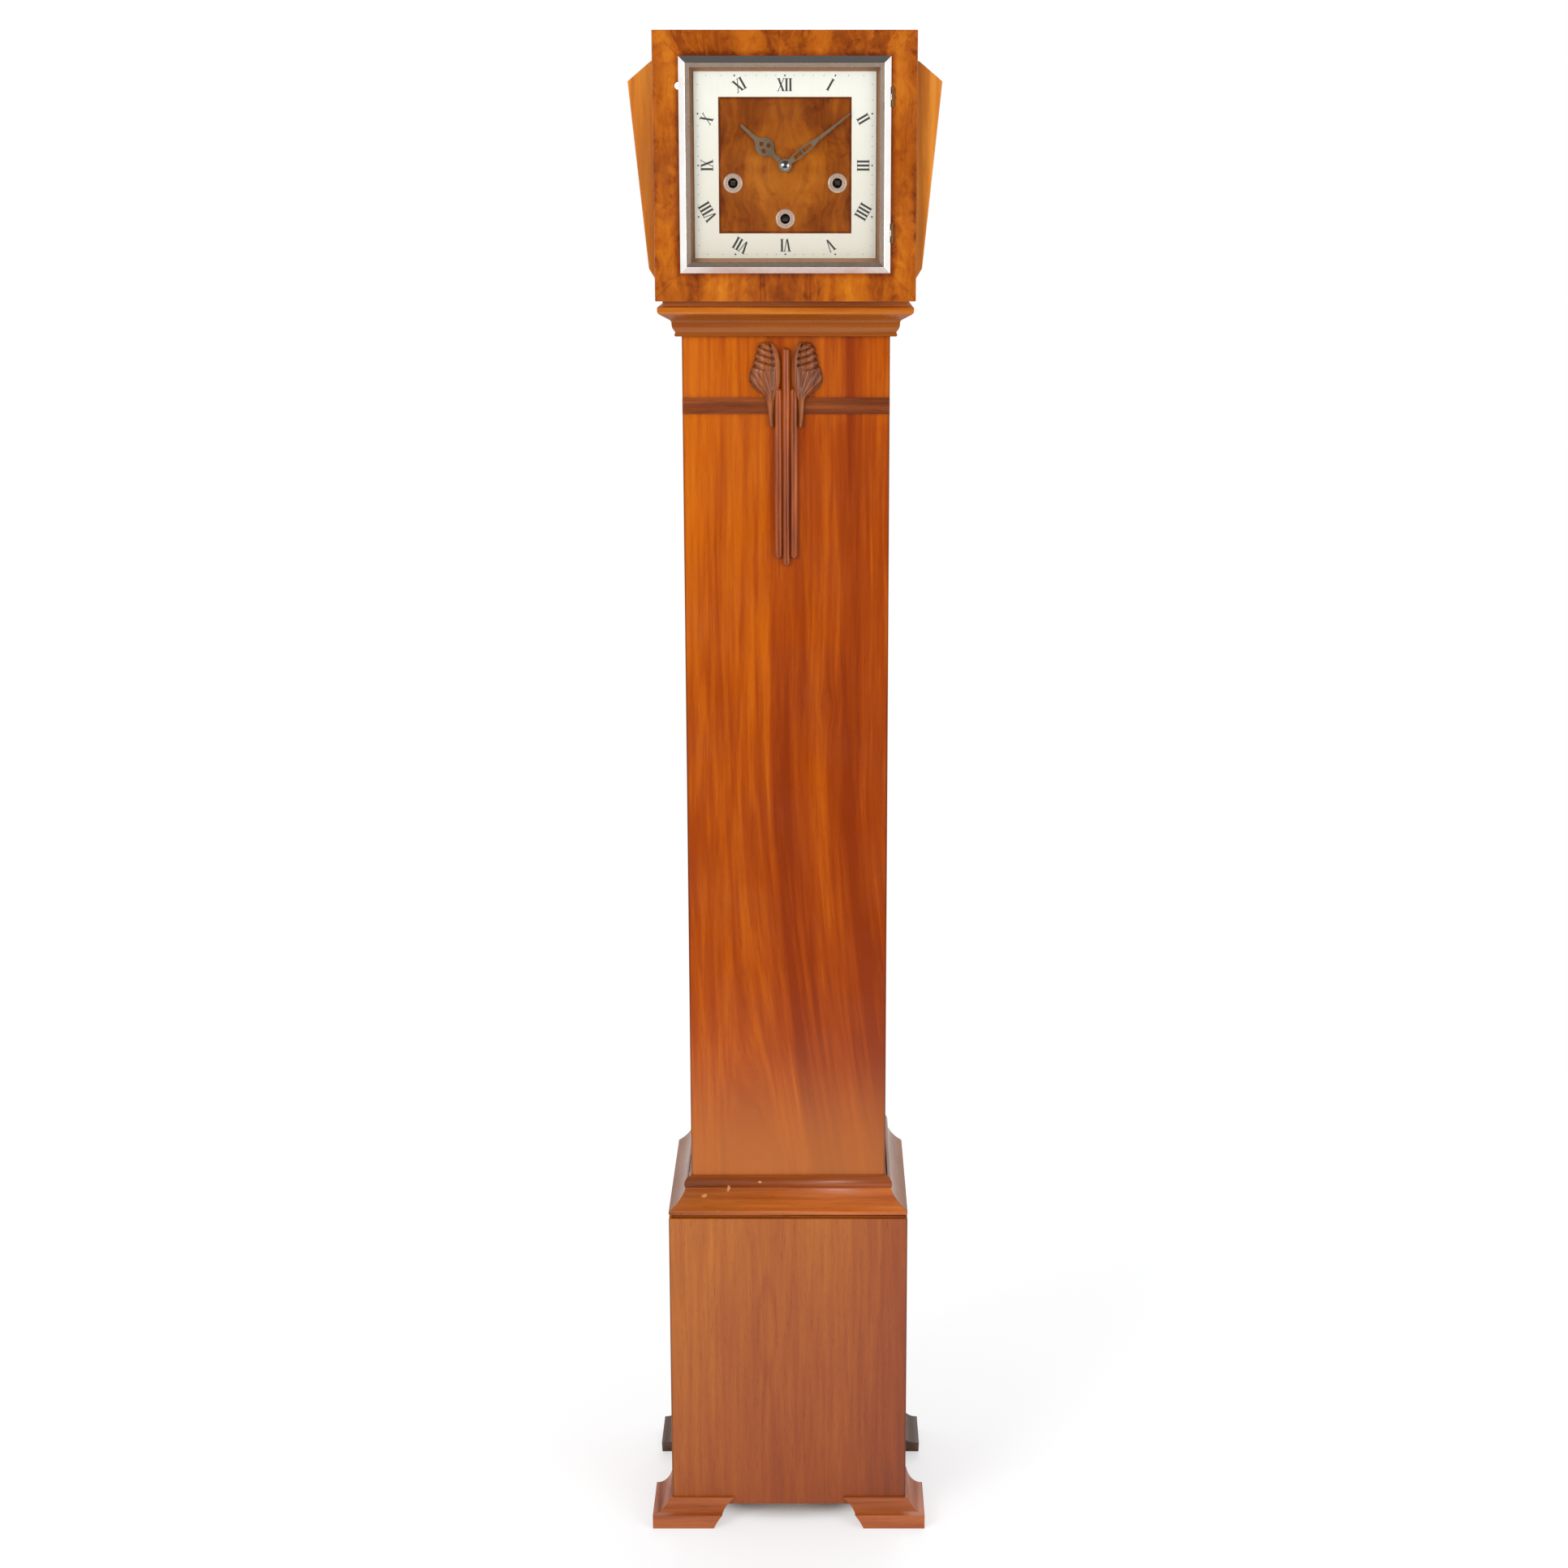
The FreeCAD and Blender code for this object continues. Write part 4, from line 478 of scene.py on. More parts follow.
metals = {
    "chromePlate": ((254, 252, 249), (222, 214, 206), (0.10, 0.18), 40, 1.0, 0.15, 0.006),
    # Inside slopes of the bezel, painted brown and dark: painted shade and painted reflection of the wood
    "chromeDull": ((150, 132, 118), (104, 86, 72), (0.20, 0.32), 60, 0.5, 0.3, 0.01),
    "silvering": ((243, 241, 232), (231, 226, 213), (0.42, 0.55), (900, 900, 30), 0.0, 0.10, 0.06),
    "colletMetal": ((208, 182, 166), (160, 134, 116), (0.22, 0.36), 300, 0.35, 0.2, 0.06),
    "handSteel": ((134, 114, 94), (84, 68, 54), (0.26, 0.40), 700, 0.25, 0.5, 0.06),
    "agedBrass": ((120, 84, 48), (78, 52, 30), (0.4, 0.55), 200, 0.6, 0.4, 0.06),
    "dialBrass": ((196, 150, 112), (150, 104, 70), (0.4, 0.55), 200, 0.25, 0.3, 0.06),
    "brassPlate": ((212, 174, 112), (176, 134, 80), (0.24, 0.36), (30, 700, 700), 1.0, 0.15, 0.03),
    "brassWheel": ((216, 180, 116), (178, 138, 82), (0.18, 0.3), 300, 1.0, 0.15, 0.03),
    "screwBrass": ((186, 148, 92), (120, 90, 54), (0.28, 0.42), 400, 1.0, 0.4, 0.06),
    "bobBrass": ((190, 150, 84), (140, 102, 50), (0.18, 0.32), 120, 1.0, 0.35, 0.06),
    "brightSteel": ((168, 168, 168), (120, 118, 116), (0.2, 0.34), (60, 60, 600), 1.0, 0.2, 0.06),
    "springSteel": ((110, 118, 136), (74, 80, 100), (0.22, 0.34), 200, 1.0, 0.1, 0.06),
    "screwSteel": ((92, 96, 110), (60, 60, 66), (0.28, 0.42), 300, 1.0, 0.2, 0.06),
    "ironPaint": ((44, 44, 46), (70, 64, 58), (0.45, 0.62), 700, 0.0, 0.3, 0.06),
    "inkPaint": ((58, 58, 56), (84, 82, 78), (0.5, 0.62), 900, 0.0, 0.35, 0.06),
    "hammerLeather": ((150, 110, 70), (116, 80, 48), (0.7, 0.85), 1200, 0.0, 0.4, 0.06),
}
# Painted shade: the ring is painted warmer and darker towards its foot, as tone, highest, lowest,
# strength
ringLowShade = ((221, 213, 199), 1.46, 1.31, 0.95)


def makeMetal(name, tone, worn, roughness, marks, metallic, spots, relief):
    material, shader, place = startShader(name)
    brush = noise(place, marks, 3.0, 0.6)
    age = noise(place, 55.0, 5.0, 0.6)
    stain = noise(place, 9.0, 4.0, 0.55, 0.6)
    mask = between(age, 0.5, 0.75) * between(stain, 0.35, 0.7) * (spots * 2)
    mask = mask + between(brush, 0.35, 0.75, 0.0, 0.22)
    colour = blended(mask, paint(tone), paint(worn))
    # Painted shade on the ring towards its foot
    if name == "silvering":
        colour = towardsFoot(splitAxes(place)[2], colour, ringLowShade, between)
    finishShader(shader, brush + age * 0.5, relief, 0.0002, {
        "Base Color": colour, "Metallic": metallic,
        "Roughness": between(brush, 0.3, 0.7, *roughness) + mask * 0.1})
    return material


glass = {
    "ripple": 0.02, "refraction": 1.30, "clear": (0.96, 0.965, 0.96, 1),
    "shine": (0.9, 0.92, 0.92, 1), "dust": (0.4, 0.8, 0.02, 0.05),
}


def makeGlass():
    # Thin clear pane: light passes straight through and the face shines at a slant
    material, tree, place = startMaterial("clearGlass")
    bump = addNode(tree, "ShaderNodeBump", {
        "Height": noise(place, 6.0, 2.0), "Strength": glass["ripple"],
        "Distance": 0.001}).outputs[0]
    sheen = addNode(tree, "ShaderNodeFresnel", {"IOR": glass["refraction"], "Normal": bump})
    behind = Field(addNode(tree, "ShaderNodeNewGeometry").outputs["Backfacing"])
    clear = addNode(tree, "ShaderNodeBsdfTransparent", {"Color": glass["clear"]})
    shine = addNode(tree, "ShaderNodeBsdfGlossy", {
        "Color": glass["shine"], "Normal": bump,
        "Roughness": between(noise(place, 40.0, 4.0), *glass["dust"])})
    showMix(tree, Field(sheen.outputs[0]) * (1.0 - behind), clear, shine)
    return material


finishes = {name: makeWood(name, look) for name, look in woods.items()}
finishes.update({name: makeMetal(name, *row) for name, row in metals.items()})
finishes["clearGlass"] = makeGlass()
print(f"materials: {len(finishes)}")


# Every CAD piece takes a finish. Those in the first list are shown as copies with eased edges,
# as finish, slot and width of the easing in millimetres

easedPieces = [
    ("trunkVeneer", "walnut_trunk", 0.7, "trunk_front"),
    ("trunkSideVeneer", "walnut_trunk", 0.7, "trunk_side_left trunk_side_right"),
    ("plinthVeneer", "walnut_plinth", 0.8, "plinth_front plinth_side_left plinth_side_right"),
    ("plinthSolid", "walnut_plinth", 1.0, "foot_front_left foot_front_right"),
    ("rearFootSolid", "walnut_plinth", 1.0, "rear_feet"),
    ("shoulderSolid", "walnut_plinth", 0.5, "shoulder_moulding"),
    ("revealWood", "dark_wood", 0.5, "reveal_fillet"),
    ("bandVeneer", "dark_wood", 0.4, "trunk_band"),
    ("ornamentWood", "dark_wood", 0.3, "ornament_reeds"),
    ("headVeneer", "walnut_burr", 0.9, "head_front"),
    ("trunkSideVeneer", "walnut_trunk", 0.7, "head_side_left head_side_right"),
    ("topVeneer", "walnut_trunk", 0.7, "head_top"),
    ("wingVeneer", "walnut_burr", 0.8, "head_wings"),
    ("backDoorWood", "carcase_wood", 1.2, "back_door"),
    ("carcaseWood", "carcase_wood", 0.5, "trunk_back plinth_back"),
    ("seatWood", "carcase_wood", 0.6, "seat_board"),
    ("chromePlate", "chrome", 0.25, "bezel_frame"),
    ("ironPaint", "cast_iron", 1.2, "gong_block"),
    ("dialVeneer", "walnut_dial", 0.2, "dial_centre_panel"),
    ("silvering", "silvered", 0.2, "chapter_ring"),
    ("colletMetal", "brass", 0.25, "winding_collets"),
    ("brassPlate", "brass", 0.3, "movement_front_plate movement_back_plate"),
    ("handSteel", "hand_steel", 0.25, "minute_hand hour_hand"),
]
otherFinishes = {
    "carcaseWood": "base_board", "corniceSolid": "cornice_moulding",
    "ornamentWood": "carved_leaves", "bobBrass": "back_door_knob pendulum_bob",
    "brightSteel": "back_door_pivots hand_nut strike_winding_arbor going_winding_arbor "
                   "chime_winding_arbor pallet_anchor pendulum_rod chime_hammers chime_rods",
    "agedBrass": "bezel_hinges", "silvering": "bezel_tab", "clearGlass": "bezel_glass",
    "dialBrass": "dial_plate", "springSteel": "suspension_spring",
    "brassWheel": "movement_pillars going_barrel strike_barrel chime_barrel centre_wheel "
                  "third_wheel escape_wheel minute_wheel hour_wheel rating_nut",
}
for finish, words in [(row[0], row[3]) for row in easedPieces] + list(otherFinishes.items()):
    for word in words.split():
        nodes[word].data.materials.clear()
        nodes[word].data.materials.append(finishes[finish])
print("finishes: given to the CAD pieces")


def addObject(name, data):
    item = bpy.data.objects.new(name, data)
    bpy.context.collection.objects.link(item)
    return item


def newObject(name, mesh, finish, body, replaced=()):
    item = addObject(name, mesh)
    mesh.materials.clear()
    mesh.materials.append(finishes[finish])
    if replaced:
        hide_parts(*replaced)
    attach(item, body)
    return item


def meshFrom(form, name, sharpFrom=None):
    bmesh.ops.recalc_face_normals(form, faces=form.faces)
    for edge in form.edges if sharpFrom else ():
        edge.smooth = edge.calc_face_angle() < math.radians(sharpFrom)
    mesh = bpy.data.meshes.new(name)
    form.to_mesh(mesh)
    form.free()
    return mesh


def modified(holder, name):
    # The mesh that an object's modifiers make of it
    mesh = bpy.data.meshes.new_from_object(
        holder.evaluated_get(bpy.context.evaluated_depsgraph_get()))
    mesh.name = name
    bpy.data.objects.remove(holder)
    return mesh


def weighted(mesh):
    # Normals follow the wide faces, so that flats stay flat beside rounded edges
    holder = addObject("holder", mesh)
    for face in mesh.polygons:
        face.use_smooth = True
    modifier = holder.modifiers.new("even", "WEIGHTED_NORMAL")
    modifier.keep_sharp = True
    modifier.weight = 90
    return modified(holder, mesh.name)


easing = {"merge": 0.004, "flat": 0.3, "sharp": 32, "steps": 3}


def easedCopy(word, width):
    form = bmesh.new()
    form.from_mesh(nodes[word].data)
    bmesh.ops.remove_doubles(form, verts=form.verts, dist=easing["merge"] * mm)
    bmesh.ops.dissolve_limit(form, angle_limit=math.radians(easing["flat"]), verts=form.verts,
                             edges=form.edges)
    limit = math.radians(easing["sharp"])
    sharp = [edge for edge in form.edges
             if edge.is_manifold and edge.calc_face_angle(0.0) > limit]
    bmesh.ops.bevel(form, geom=sharp, offset=width * mm, offset_type="OFFSET", profile=0.5,
                    segments=easing["steps"], affect="EDGES", clamp_overlap=True)
    return weighted(meshFrom(form, f"{word}Eased"))


owners = {"back_door": "back_door", "bezel_frame": "bezel_door", "minute_hand": "minute_arbor",
          "hour_hand": "hour_pipe"}
for finish, slotName, width, words in easedPieces:
    for word in words.split():
        newObject(f"{word}Eased", easedCopy(word, width), finish, owners.get(word, "case"),
                  (word,))

# The bezel's two moving knuckles are brass, dull with age, like the ones on the head
bezelMesh = bpy.data.objects["bezel_frameEased"].data
bezelMesh.materials.append(finishes["agedBrass"])
bezelMesh.materials.append(finishes["chromeDull"])
knuckleFrom = 0.05 * mm - bezelLow.x
# Faces turned inwards take the painted shade on the bezel's inside slopes
for face in bezelMesh.polygons:
    inward = -face.normal.x * face.center.x - face.normal.z * (face.center.z - dialMiddle)
    face.material_index = 1 if face.center.x > knuckleFrom else 2 if inward > 0.015 else 0
print("case: pieces with eased edges")


# Cornice: its section, as (ahead of the trunk, above the lowest edge), runs round three sides

cornice = {
    "section": [(0, 0), (5.4, 0), (6.3, 0.5), (6.6, 1.5), (6.4, 2.6), (5.9, 3.3), (5.9, 4.3),
                (6.4, 5.2), (7.4, 6.4), (8.5, 8.4), (9.1, 11.0), (9.2, 13.2), (9.5, 14.7),
                (10.6, 15.9), (15.2, 18.6), (19.9, 21.4), (21.3, 22.6), (21.9, 24.0), (22.0, 25.6),
                (22.0, 27.6), (21.7, 28.3), (21.0, 28.7), (0, 28.7)],
    "sharpFrom": 40,
}


def skin(form, loops, closed=True):
    # Faces between loops of corners, with one over each end
    for first, second in zip(loops, loops[1:]):
        for index, corner in enumerate(first):
            following = (index + 1) % len(first)
            corners = (corner, second[index], second[following], first[following])
            form.faces.new(list(dict.fromkeys(corners)))
    if closed:
        form.faces.new(loops[0])
        form.faces.new(loops[-1][::-1])


def makeCornice():
    form = bmesh.new()
    skin(form, [[form.verts.new((side * (trunkHigh.x + out * mm),
                                 corniceHigh.y if rear else trunkLow.y - out * mm,
                                 corniceLow.z + up * mm)) for out, up in cornice["section"]]
                for side, rear in ((-1, True), (-1, False), (1, False), (1, True))])
    mesh = meshFrom(form, "corniceRun", cornice["sharpFrom"])
    newObject("corniceRun", weighted(mesh), "corniceSolid", "case",
              ("cornice_moulding",))


makeCornice()


# Carved leaves: rows go up the stem to the tip, columns from the smooth rim to the lobes

leaf = {
    "rows": 200, "columns": 66, "proud": 8.8,
    # Heights above the band's top edge, with the rim's and the lobes' distance from the middle
    "outline": [(-28, 12, 16), (-20, 12, 17), (-10, 11.8, 18), (-3, 11.2, 19), (0, 10.4, 20.6),
                (4, 8.8, 25), (9, 6.8, 31), (15, 5.4, 34.8), (21, 5.1, 35.1), (27, 5.1, 33.6),
                (34, 5.5, 31.6), (41, 6.8, 29.8), (46, 8.6, 28.6), (50, 10.8, 26.8),
                (52, 12.6, 24.6), (53.2, 15.6, 21)],
    "lobeFrom": 23.5, "lobePitch": 6.4, "lobeRise": 7.5, "lobeDepth": 2.6, "notch": 2.0,
    "rimShare": 0.16, "rimRise": 1.1, "grooveDepth": 1.5, "fanFoot": (11.0, -6.0), "fanRays": 17,
    "fanDepth": 1.25, "fanRise": 0.7, "fanTop": 28.0,
}


def along(points, height, column):
    # Smooth reading between the outline's points
    heights = [point[0] for point in points]
    height = min(max(height, heights[0]), heights[-1])
    index = min(sum(step <= height for step in heights) - 1, len(heights) - 2)
    share = (height - heights[index]) / (heights[index + 1] - heights[index])
    before, first, second, after = [points[min(max(index + step, 0), len(points) - 1)][column]
                                    for step in (-1, 0, 1, 2)]
    return 0.5 * (2 * first + (second - before) * share
                  + (2 * before - 5 * first + 4 * second - after) * share ** 2
                  + (3 * first - before - 3 * second + after) * share ** 3)


def ease(value, low, high):
    share = min(max((value - low) / (high - low), 0.0), 1.0)
    return share * share * (3 - 2 * share)


def lobeWave(height, share):
    # 1 on the crest of a lobe and 0 in the groove between two
    phase = (height - leaf["lobeFrom"] - leaf["lobeRise"] * share ** 1.3) / leaf["lobePitch"]
    return abs(math.sin(math.pi * phase)) ** 0.55


def leafPoint(row, column):
    points = leaf["outline"]
    foot, tip = points[0][0], points[-1][0]
    rimShare = leaf["rimShare"]
    height = foot + (tip - foot) * row / leaf["rows"]
    share = 0.5 - 0.5 * math.cos(math.pi * column / leaf["columns"])
    rim = along(points, height, 1)
    reach = along(points, height, 2)
    upper = ease(height, leaf["fanTop"] - 4, leaf["fanTop"] + 2)
    groove = 1 - lobeWave(height, share)
    reach -= leaf["notch"] * (1 - lobeWave(height, 1.0)) * upper * ease(tip - height, 0.0, 4.0)
    across = rim + (reach - rim) * share
    footX, footHeight = leaf["fanFoot"]
    angle = math.atan2(height - footHeight, across - footX)
    distance = math.hypot(across - footX, height - footHeight)
    furrow = 1 - abs(math.sin(angle * leaf["fanRays"]))
    inFan = ease(height, -5.0, 2.0) * (1 - upper) * ease(share, 0.22, 0.42)
    edge = (1 - abs(2 * share - 1) ** 5) ** 0.5
    crown = 0.62 + 0.38 * math.sin(math.pi * min(share * 1.1, 1.0)) ** 0.8
    onRim = 1 - ease(share, rimShare * 0.75, rimShare * 1.5)
    inLobes = upper * ease(share, rimShare, rimShare * 1.9)
    beside = (share - rimShare * 1.7) / 0.06
    depth = leaf["proud"] * crown + leaf["rimRise"] * onRim * ease(height, 0.0, 14.0)
    depth -= leaf["grooveDepth"] * math.exp(-beside ** 2) * ease(height, 2.0, 12.0)
    depth -= leaf["lobeDepth"] * groove * inLobes
    depth -= leaf["fanDepth"] * furrow * inFan * ease(distance, 4.0, 14.0)
    depth += leaf["fanRise"] * inFan * math.sin(math.pi * ease(share, 0.3, 1.0))
    depth *= edge * (0.72 + 0.28 * ease(height, -6.0, 6.0)) * \
        (0.80 + 0.20 * ease(tip - height, 0.0, 5.0))
    # Painted shade in the carving's hollows, grooves and outline, and a painted highlight on the worn rim
    hollow = groove * inLobes * 1.1 + furrow * inFan * 0.8 - onRim * 0.35
    hollow += math.exp(-(beside * 0.75) ** 2) * 0.8 + (1 - edge) * 0.9 - 0.22
    return across, min(max(depth, 0.0), leaf["proud"]), height, hollow


def makeLeaves():
    form = bmesh.new()
    hollowShades = []
    for side in (-1, 1):
        grid = []
        for row in range(leaf["rows"] + 1):
            grid.append([])
            for column in range(leaf["columns"] + 1):
                across, depth, height, hollow = leafPoint(row, column)
                hollowShades.append(hollow)
                grid[-1].append(form.verts.new((side * across * mm, trunkLow.y - depth * mm,
                                                bandHigh.z + height * mm)))
        for lower, upper in zip(grid, grid[1:]):
            for column in range(leaf["columns"]):
                corners = [lower[column], lower[column + 1], upper[column + 1], upper[column]]
                form.faces.new(corners if side > 0 else corners[::-1])
        border = grid[0] + [line[-1] for line in grid[1:-1]] + grid[-1][::-1] + \
            [line[0] for line in grid[-2:0:-1]]
        form.faces.new(border[::-1] if side > 0 else border)
    mesh = meshFrom(form, "carvedLeaves")
    mesh.attributes.new("hollow", "FLOAT", "POINT").data.foreach_set("value", hollowShades)
    for face in mesh.polygons:
        face.use_smooth = len(face.vertices) == 4
    newObject("carvedLeaves", mesh, "carvedWood", "case", ("carved_leaves",))
    print(f"leaves: {len(mesh.polygons)} faces")


makeLeaves()


# Numerals and minute marks on the ring, laid on as thin ink

marking = {
    "tall": 11.6, "middle": 73.2, "thick": 0.07, "layer": 0.004, "layers": 5,
    "stem": 1.9, "hair": 0.75, "serif": 0.5, "serifReach": 0.7, "gap": 0.35,
    "wide": {"I": 3.3, "V": 6.0, "X": 6.3}, "dotOut": 81.5, "dot": 0.40, "fiveDot": 0.85,
    "dotSides": 10,
}
romans = ["XII", "I", "II", "III", "IIII", "V", "VI", "VII", "VIII", "IX", "X", "XI"]


def glyphBars(letter):
    # Bars are (foot, head, foot width, head width), and serifs (middle, width)
    tall, stem, hair = marking["tall"], marking["stem"], marking["hair"]
    wide = marking["wide"][letter]
    middle, left, right = wide / 2, stem / 2, wide - hair / 2
    bars, heads, feet = {
        "I": ([(middle, middle, stem, stem)], [(middle, stem)], [(middle, stem)]),
        "V": ([(middle, left, stem * 0.8, stem), (middle + stem * 0.2, right, hair, hair)],
              [(left, stem), (right, hair)], []),
        "X": ([(wide - left, left, stem, stem), (hair / 2, right, hair, hair)],
              [(left, stem), (right, hair)], [(hair / 2, hair), (wide - left, stem)]),
    }[letter]
    strokes = [((low, 0), (high, tall), *widths) for low, high, *widths in bars]
    for ends, height in ((heads, tall - marking["serif"]), (feet, 0)):
        for x, width in ends:
            full = width + marking["serifReach"] * 2
            strokes.append(((x, height), (x, height + marking["serif"]), full, full))
    return strokes, wide


def onSquare(distance, turn):
    # Marks sit on a square, closer in at the middles of its sides
    return distance / max(abs(math.cos(turn)), abs(math.sin(turn)))


def addBar(form, corners, turn, layer=0):
    # A thin prism on the ring's face, turned about the hands' centre
    front = ringLow.y - (marking["thick"] + layer * marking["layer"]) * mm
    cosine, sine = math.cos(turn), math.sin(turn)
    places = [((across * cosine + up * sine) * mm, dialMiddle + (up * cosine - across * sine) * mm)
              for across, up in corners]
    skin(form, [[form.verts.new((x, y, z)) for x, z in places] for y in (front, ringLow.y)])


def makeNumerals():
    form = bmesh.new()
    layer = 0
    for hour, word in enumerate(romans):
        turn = math.radians(hour * 30)
        pieces = [glyphBars(letter) for letter in word]
        wide = sum(width for strokes, width in pieces) + marking["gap"] * (len(pieces) - 1)
        start = -wide / 2
        foot = onSquare(marking["middle"], turn) - marking["tall"] / 2
        for strokes, width in pieces:
            for low, high, lowWidth, highWidth in strokes:
                corners = [(start + across + half, foot + up) for (across, up), half in (
                    (low, -lowWidth / 2), (low, lowWidth / 2), (high, highWidth / 2),
                    (high, -highWidth / 2))]
                addBar(form, corners, turn, layer % marking["layers"])
                layer += 1
            start += width + marking["gap"]
    for minute in range(60):
        turn = math.radians(minute * 6)
        reach = onSquare(marking["dotOut"], turn)
        size = marking["dot"] if minute % 5 else marking["fiveDot"]
        steps = [math.tau * step / marking["dotSides"] for step in range(marking["dotSides"])]
        addBar(form, [(size * math.cos(step), reach + size * math.sin(step)) for step in steps],
               turn)
    mesh = meshFrom(form, "ringMarks")
    newObject("ringMarks", mesh, "inkPaint", "case")
    print(f"numerals: {len(mesh.polygons)} faces")


makeNumerals()


# Screws and other small turned pieces, set out by one node tree

def lathe(profile, segments=24):
    # The profile is (radius, height) from the axis at the top to the outer edge at the foot
    form = bmesh.new()
    steps = [math.tau * step / segments for step in range(segments)]
    rings = []
    for radius, height in profile:
        if radius == 0:
            rings.append([form.verts.new((0, 0, height * mm))] * segments)
        else:
            rings.append([form.verts.new((radius * mm * math.cos(step),
                                          radius * mm * math.sin(step), height * mm))
                          for step in steps])
    skin(form, rings, closed=False)
    return meshFrom(form, "turned")


def disc(radius, top, foot, edge, segments):
    return lathe([(0, top), (radius - edge, top), (radius, top - edge), (radius, foot)], segments)


def slotted(mesh, wide, deep):
    # A straight slot with upright walls across the head
    form = bmesh.new()
    form.from_mesh(mesh)
    top = max(vertex.co.z for vertex in form.verts)
    half = wide * mm / 2
    wall = 0.02 * mm
    for offset in (-half, wall - half, half, half - wall):
        bmesh.ops.bisect_plane(form, geom=form.verts[:] + form.edges[:] + form.faces[:],
                               plane_co=(0, offset, 0), plane_no=(0, 1, 0))
    for vertex in form.verts:
        if abs(vertex.co.y) < half - wall / 2:
            vertex.co.z = min(vertex.co.z, top - deep * mm)
    form.to_mesh(mesh)
    form.free()
    return weighted(mesh)


# Heads are given as (radius, height, slot's width, slot's depth)

def domeHead(radius, tall, slotWide, slotDeep):
    turns = [math.pi / 2 * step / 6 for step in range(7)]
    profile = [(radius * math.sin(turn), tall * math.cos(turn)) for turn in turns]
    return slotted(lathe(profile), slotWide, slotDeep)


def cheeseHead(radius, tall, slotWide, slotDeep):
    edge = tall * 0.16
    profile = [(0, tall), (radius * 0.5, tall), (radius - edge, tall), (radius, tall - edge),
               (radius, 0)]
    return slotted(lathe(profile), slotWide, slotDeep)


def makePlacingTree():
    tree = bpy.data.node_groups.new("placeOnPoints", "GeometryNodeTree")
    tree.is_modifier = True
    for name, kind in (("Geometry", "Geometry"), ("Shape", "Object"), ("Finish", "Material")):
        tree.interface.new_socket(name, in_out="INPUT", socket_type=f"NodeSocket{kind}")
    tree.interface.new_socket("Geometry", in_out="OUTPUT", socket_type="NodeSocketGeometry")
    given = addNode(tree, "NodeGroupInput").outputs
    shape = addNode(tree, "GeometryNodeObjectInfo", {"Object": given["Shape"]})
    turn = addNode(tree, "GeometryNodeInputNamedAttribute", {"Name": "turn"},
                   data_type="FLOAT_VECTOR")
    placed = addNode(tree, "GeometryNodeInstanceOnPoints", {
        "Points": given["Geometry"], "Instance": shape.outputs["Geometry"],
        "Rotation": turn.outputs["Attribute"]})
    real = addNode(tree, "GeometryNodeRealizeInstances", {0: placed.outputs[0]})
    coloured = addNode(tree, "GeometryNodeSetMaterial", {
        "Geometry": real.outputs[0], "Material": given["Finish"]})
    addNode(tree, "NodeGroupOutput", {0: coloured.outputs[0]})
    return tree


placingTree = makePlacingTree()
facings = {"back": -math.pi / 2, "down": math.pi}


def placeMany(name, shape, places, finish, body="case"):
    # Places are (x, y, z, facing) in millimetres; each copy is spun a little differently
    points = bpy.data.meshes.new(f"{name}Points")
    points.from_pydata([(x * mm, y * mm, z * mm) for x, y, z, facing in places], [], [])
    turn = points.attributes.new("turn", "FLOAT_VECTOR", "POINT")
    for item, (x, y, z, facing) in zip(turn.data, places):
        spin = overallRandom.uniform(-math.pi, math.pi)
        axis = (spin, 0) if facing == "back" else (0, spin)
        item.vector = (facings[facing], *axis)
    pattern = addObject(f"{name}Pattern", shape)
    holder = addObject(f"{name}Holder", points)
    modifier = holder.modifiers.new("place", "NODES")
    modifier.node_group = placingTree
    sockets = {item.name: item.identifier for item in placingTree.interface.items_tree
               if item.in_out == "INPUT"}
    modifier[sockets["Shape"]] = pattern
    modifier[sockets["Finish"]] = finishes[finish]
    mesh = modified(holder, name)
    if "turn" in mesh.attributes:
        mesh.attributes.remove(mesh.attributes["turn"])
    bpy.data.objects.remove(pattern)
    newObject(name, mesh, finish, body)


def bothSides(distances, y, heights, facing="back"):
    return [(side * x, y, z, facing) for side in (-1, 1) for x in distances for z in heights]


# Brass wood screws round the two back panels, in rows as (distance out, lowest, highest, count)

backScrews = {
    "face": 109.5, "head": (3.4, 1.7, 0.8, 0.9), "trunkRow": (81.5, 364.0, 1238.0, 7),
    "plinthRow": (103.5, 42.0, 318.0, 3), "middles": (364.0, 42.0, 318.0),
}
panelPlaces = []
for across, low, high, count in (backScrews["trunkRow"], backScrews["plinthRow"]):
    heights = [low + (high - low) / (count - 1) * index for index in range(count)]
    panelPlaces += bothSides([across], backScrews["face"], heights)
panelPlaces += [(0, backScrews["face"], height, "back") for height in backScrews["middles"]]
placeMany("backPanelScrews", domeHead(*backScrews["head"]), panelPlaces, "screwBrass")


# Movement: blued screws at the pillars, oil sinks round the pivots, screws in the cock. Discs
# are (radius, top, foot, rounded edge, segments)

movement = {
    "back": -20.9, "pillarAcross": [75.0], "pillarHeights": (1305.8, 1474.0),
    "pillarHead": (5.2, 3.4, 1.2, 1.2), "washer": (7.4, 1.0, 0, 0.3, 32),
    "clampPlaces": [(-62, 1312), (62, 1312), (-62, 1462), (62, 1462), (-30, 1462), (30, 1412),
                    (-30, 1412)],
    "clampHead": (2.6, 1.6, 0.7, 0.7),
    "cockFace": -8.9, "cockAcross": [8.6], "cockHigh": [1478.0], "cockHead": (2.8, 1.8, 0.8, 0.8),
    "pivots": [(0, 1393.0), (18.0, 1424.2), (0, 1444.2), (-49.0, 1376.9), (0, 1344.2),
               (49.0, 1376.9)],
    "sink": [(3.2, 0.02), (3.6, 0.5), (4.9, 0.5), (5.4, 0.02)],
}


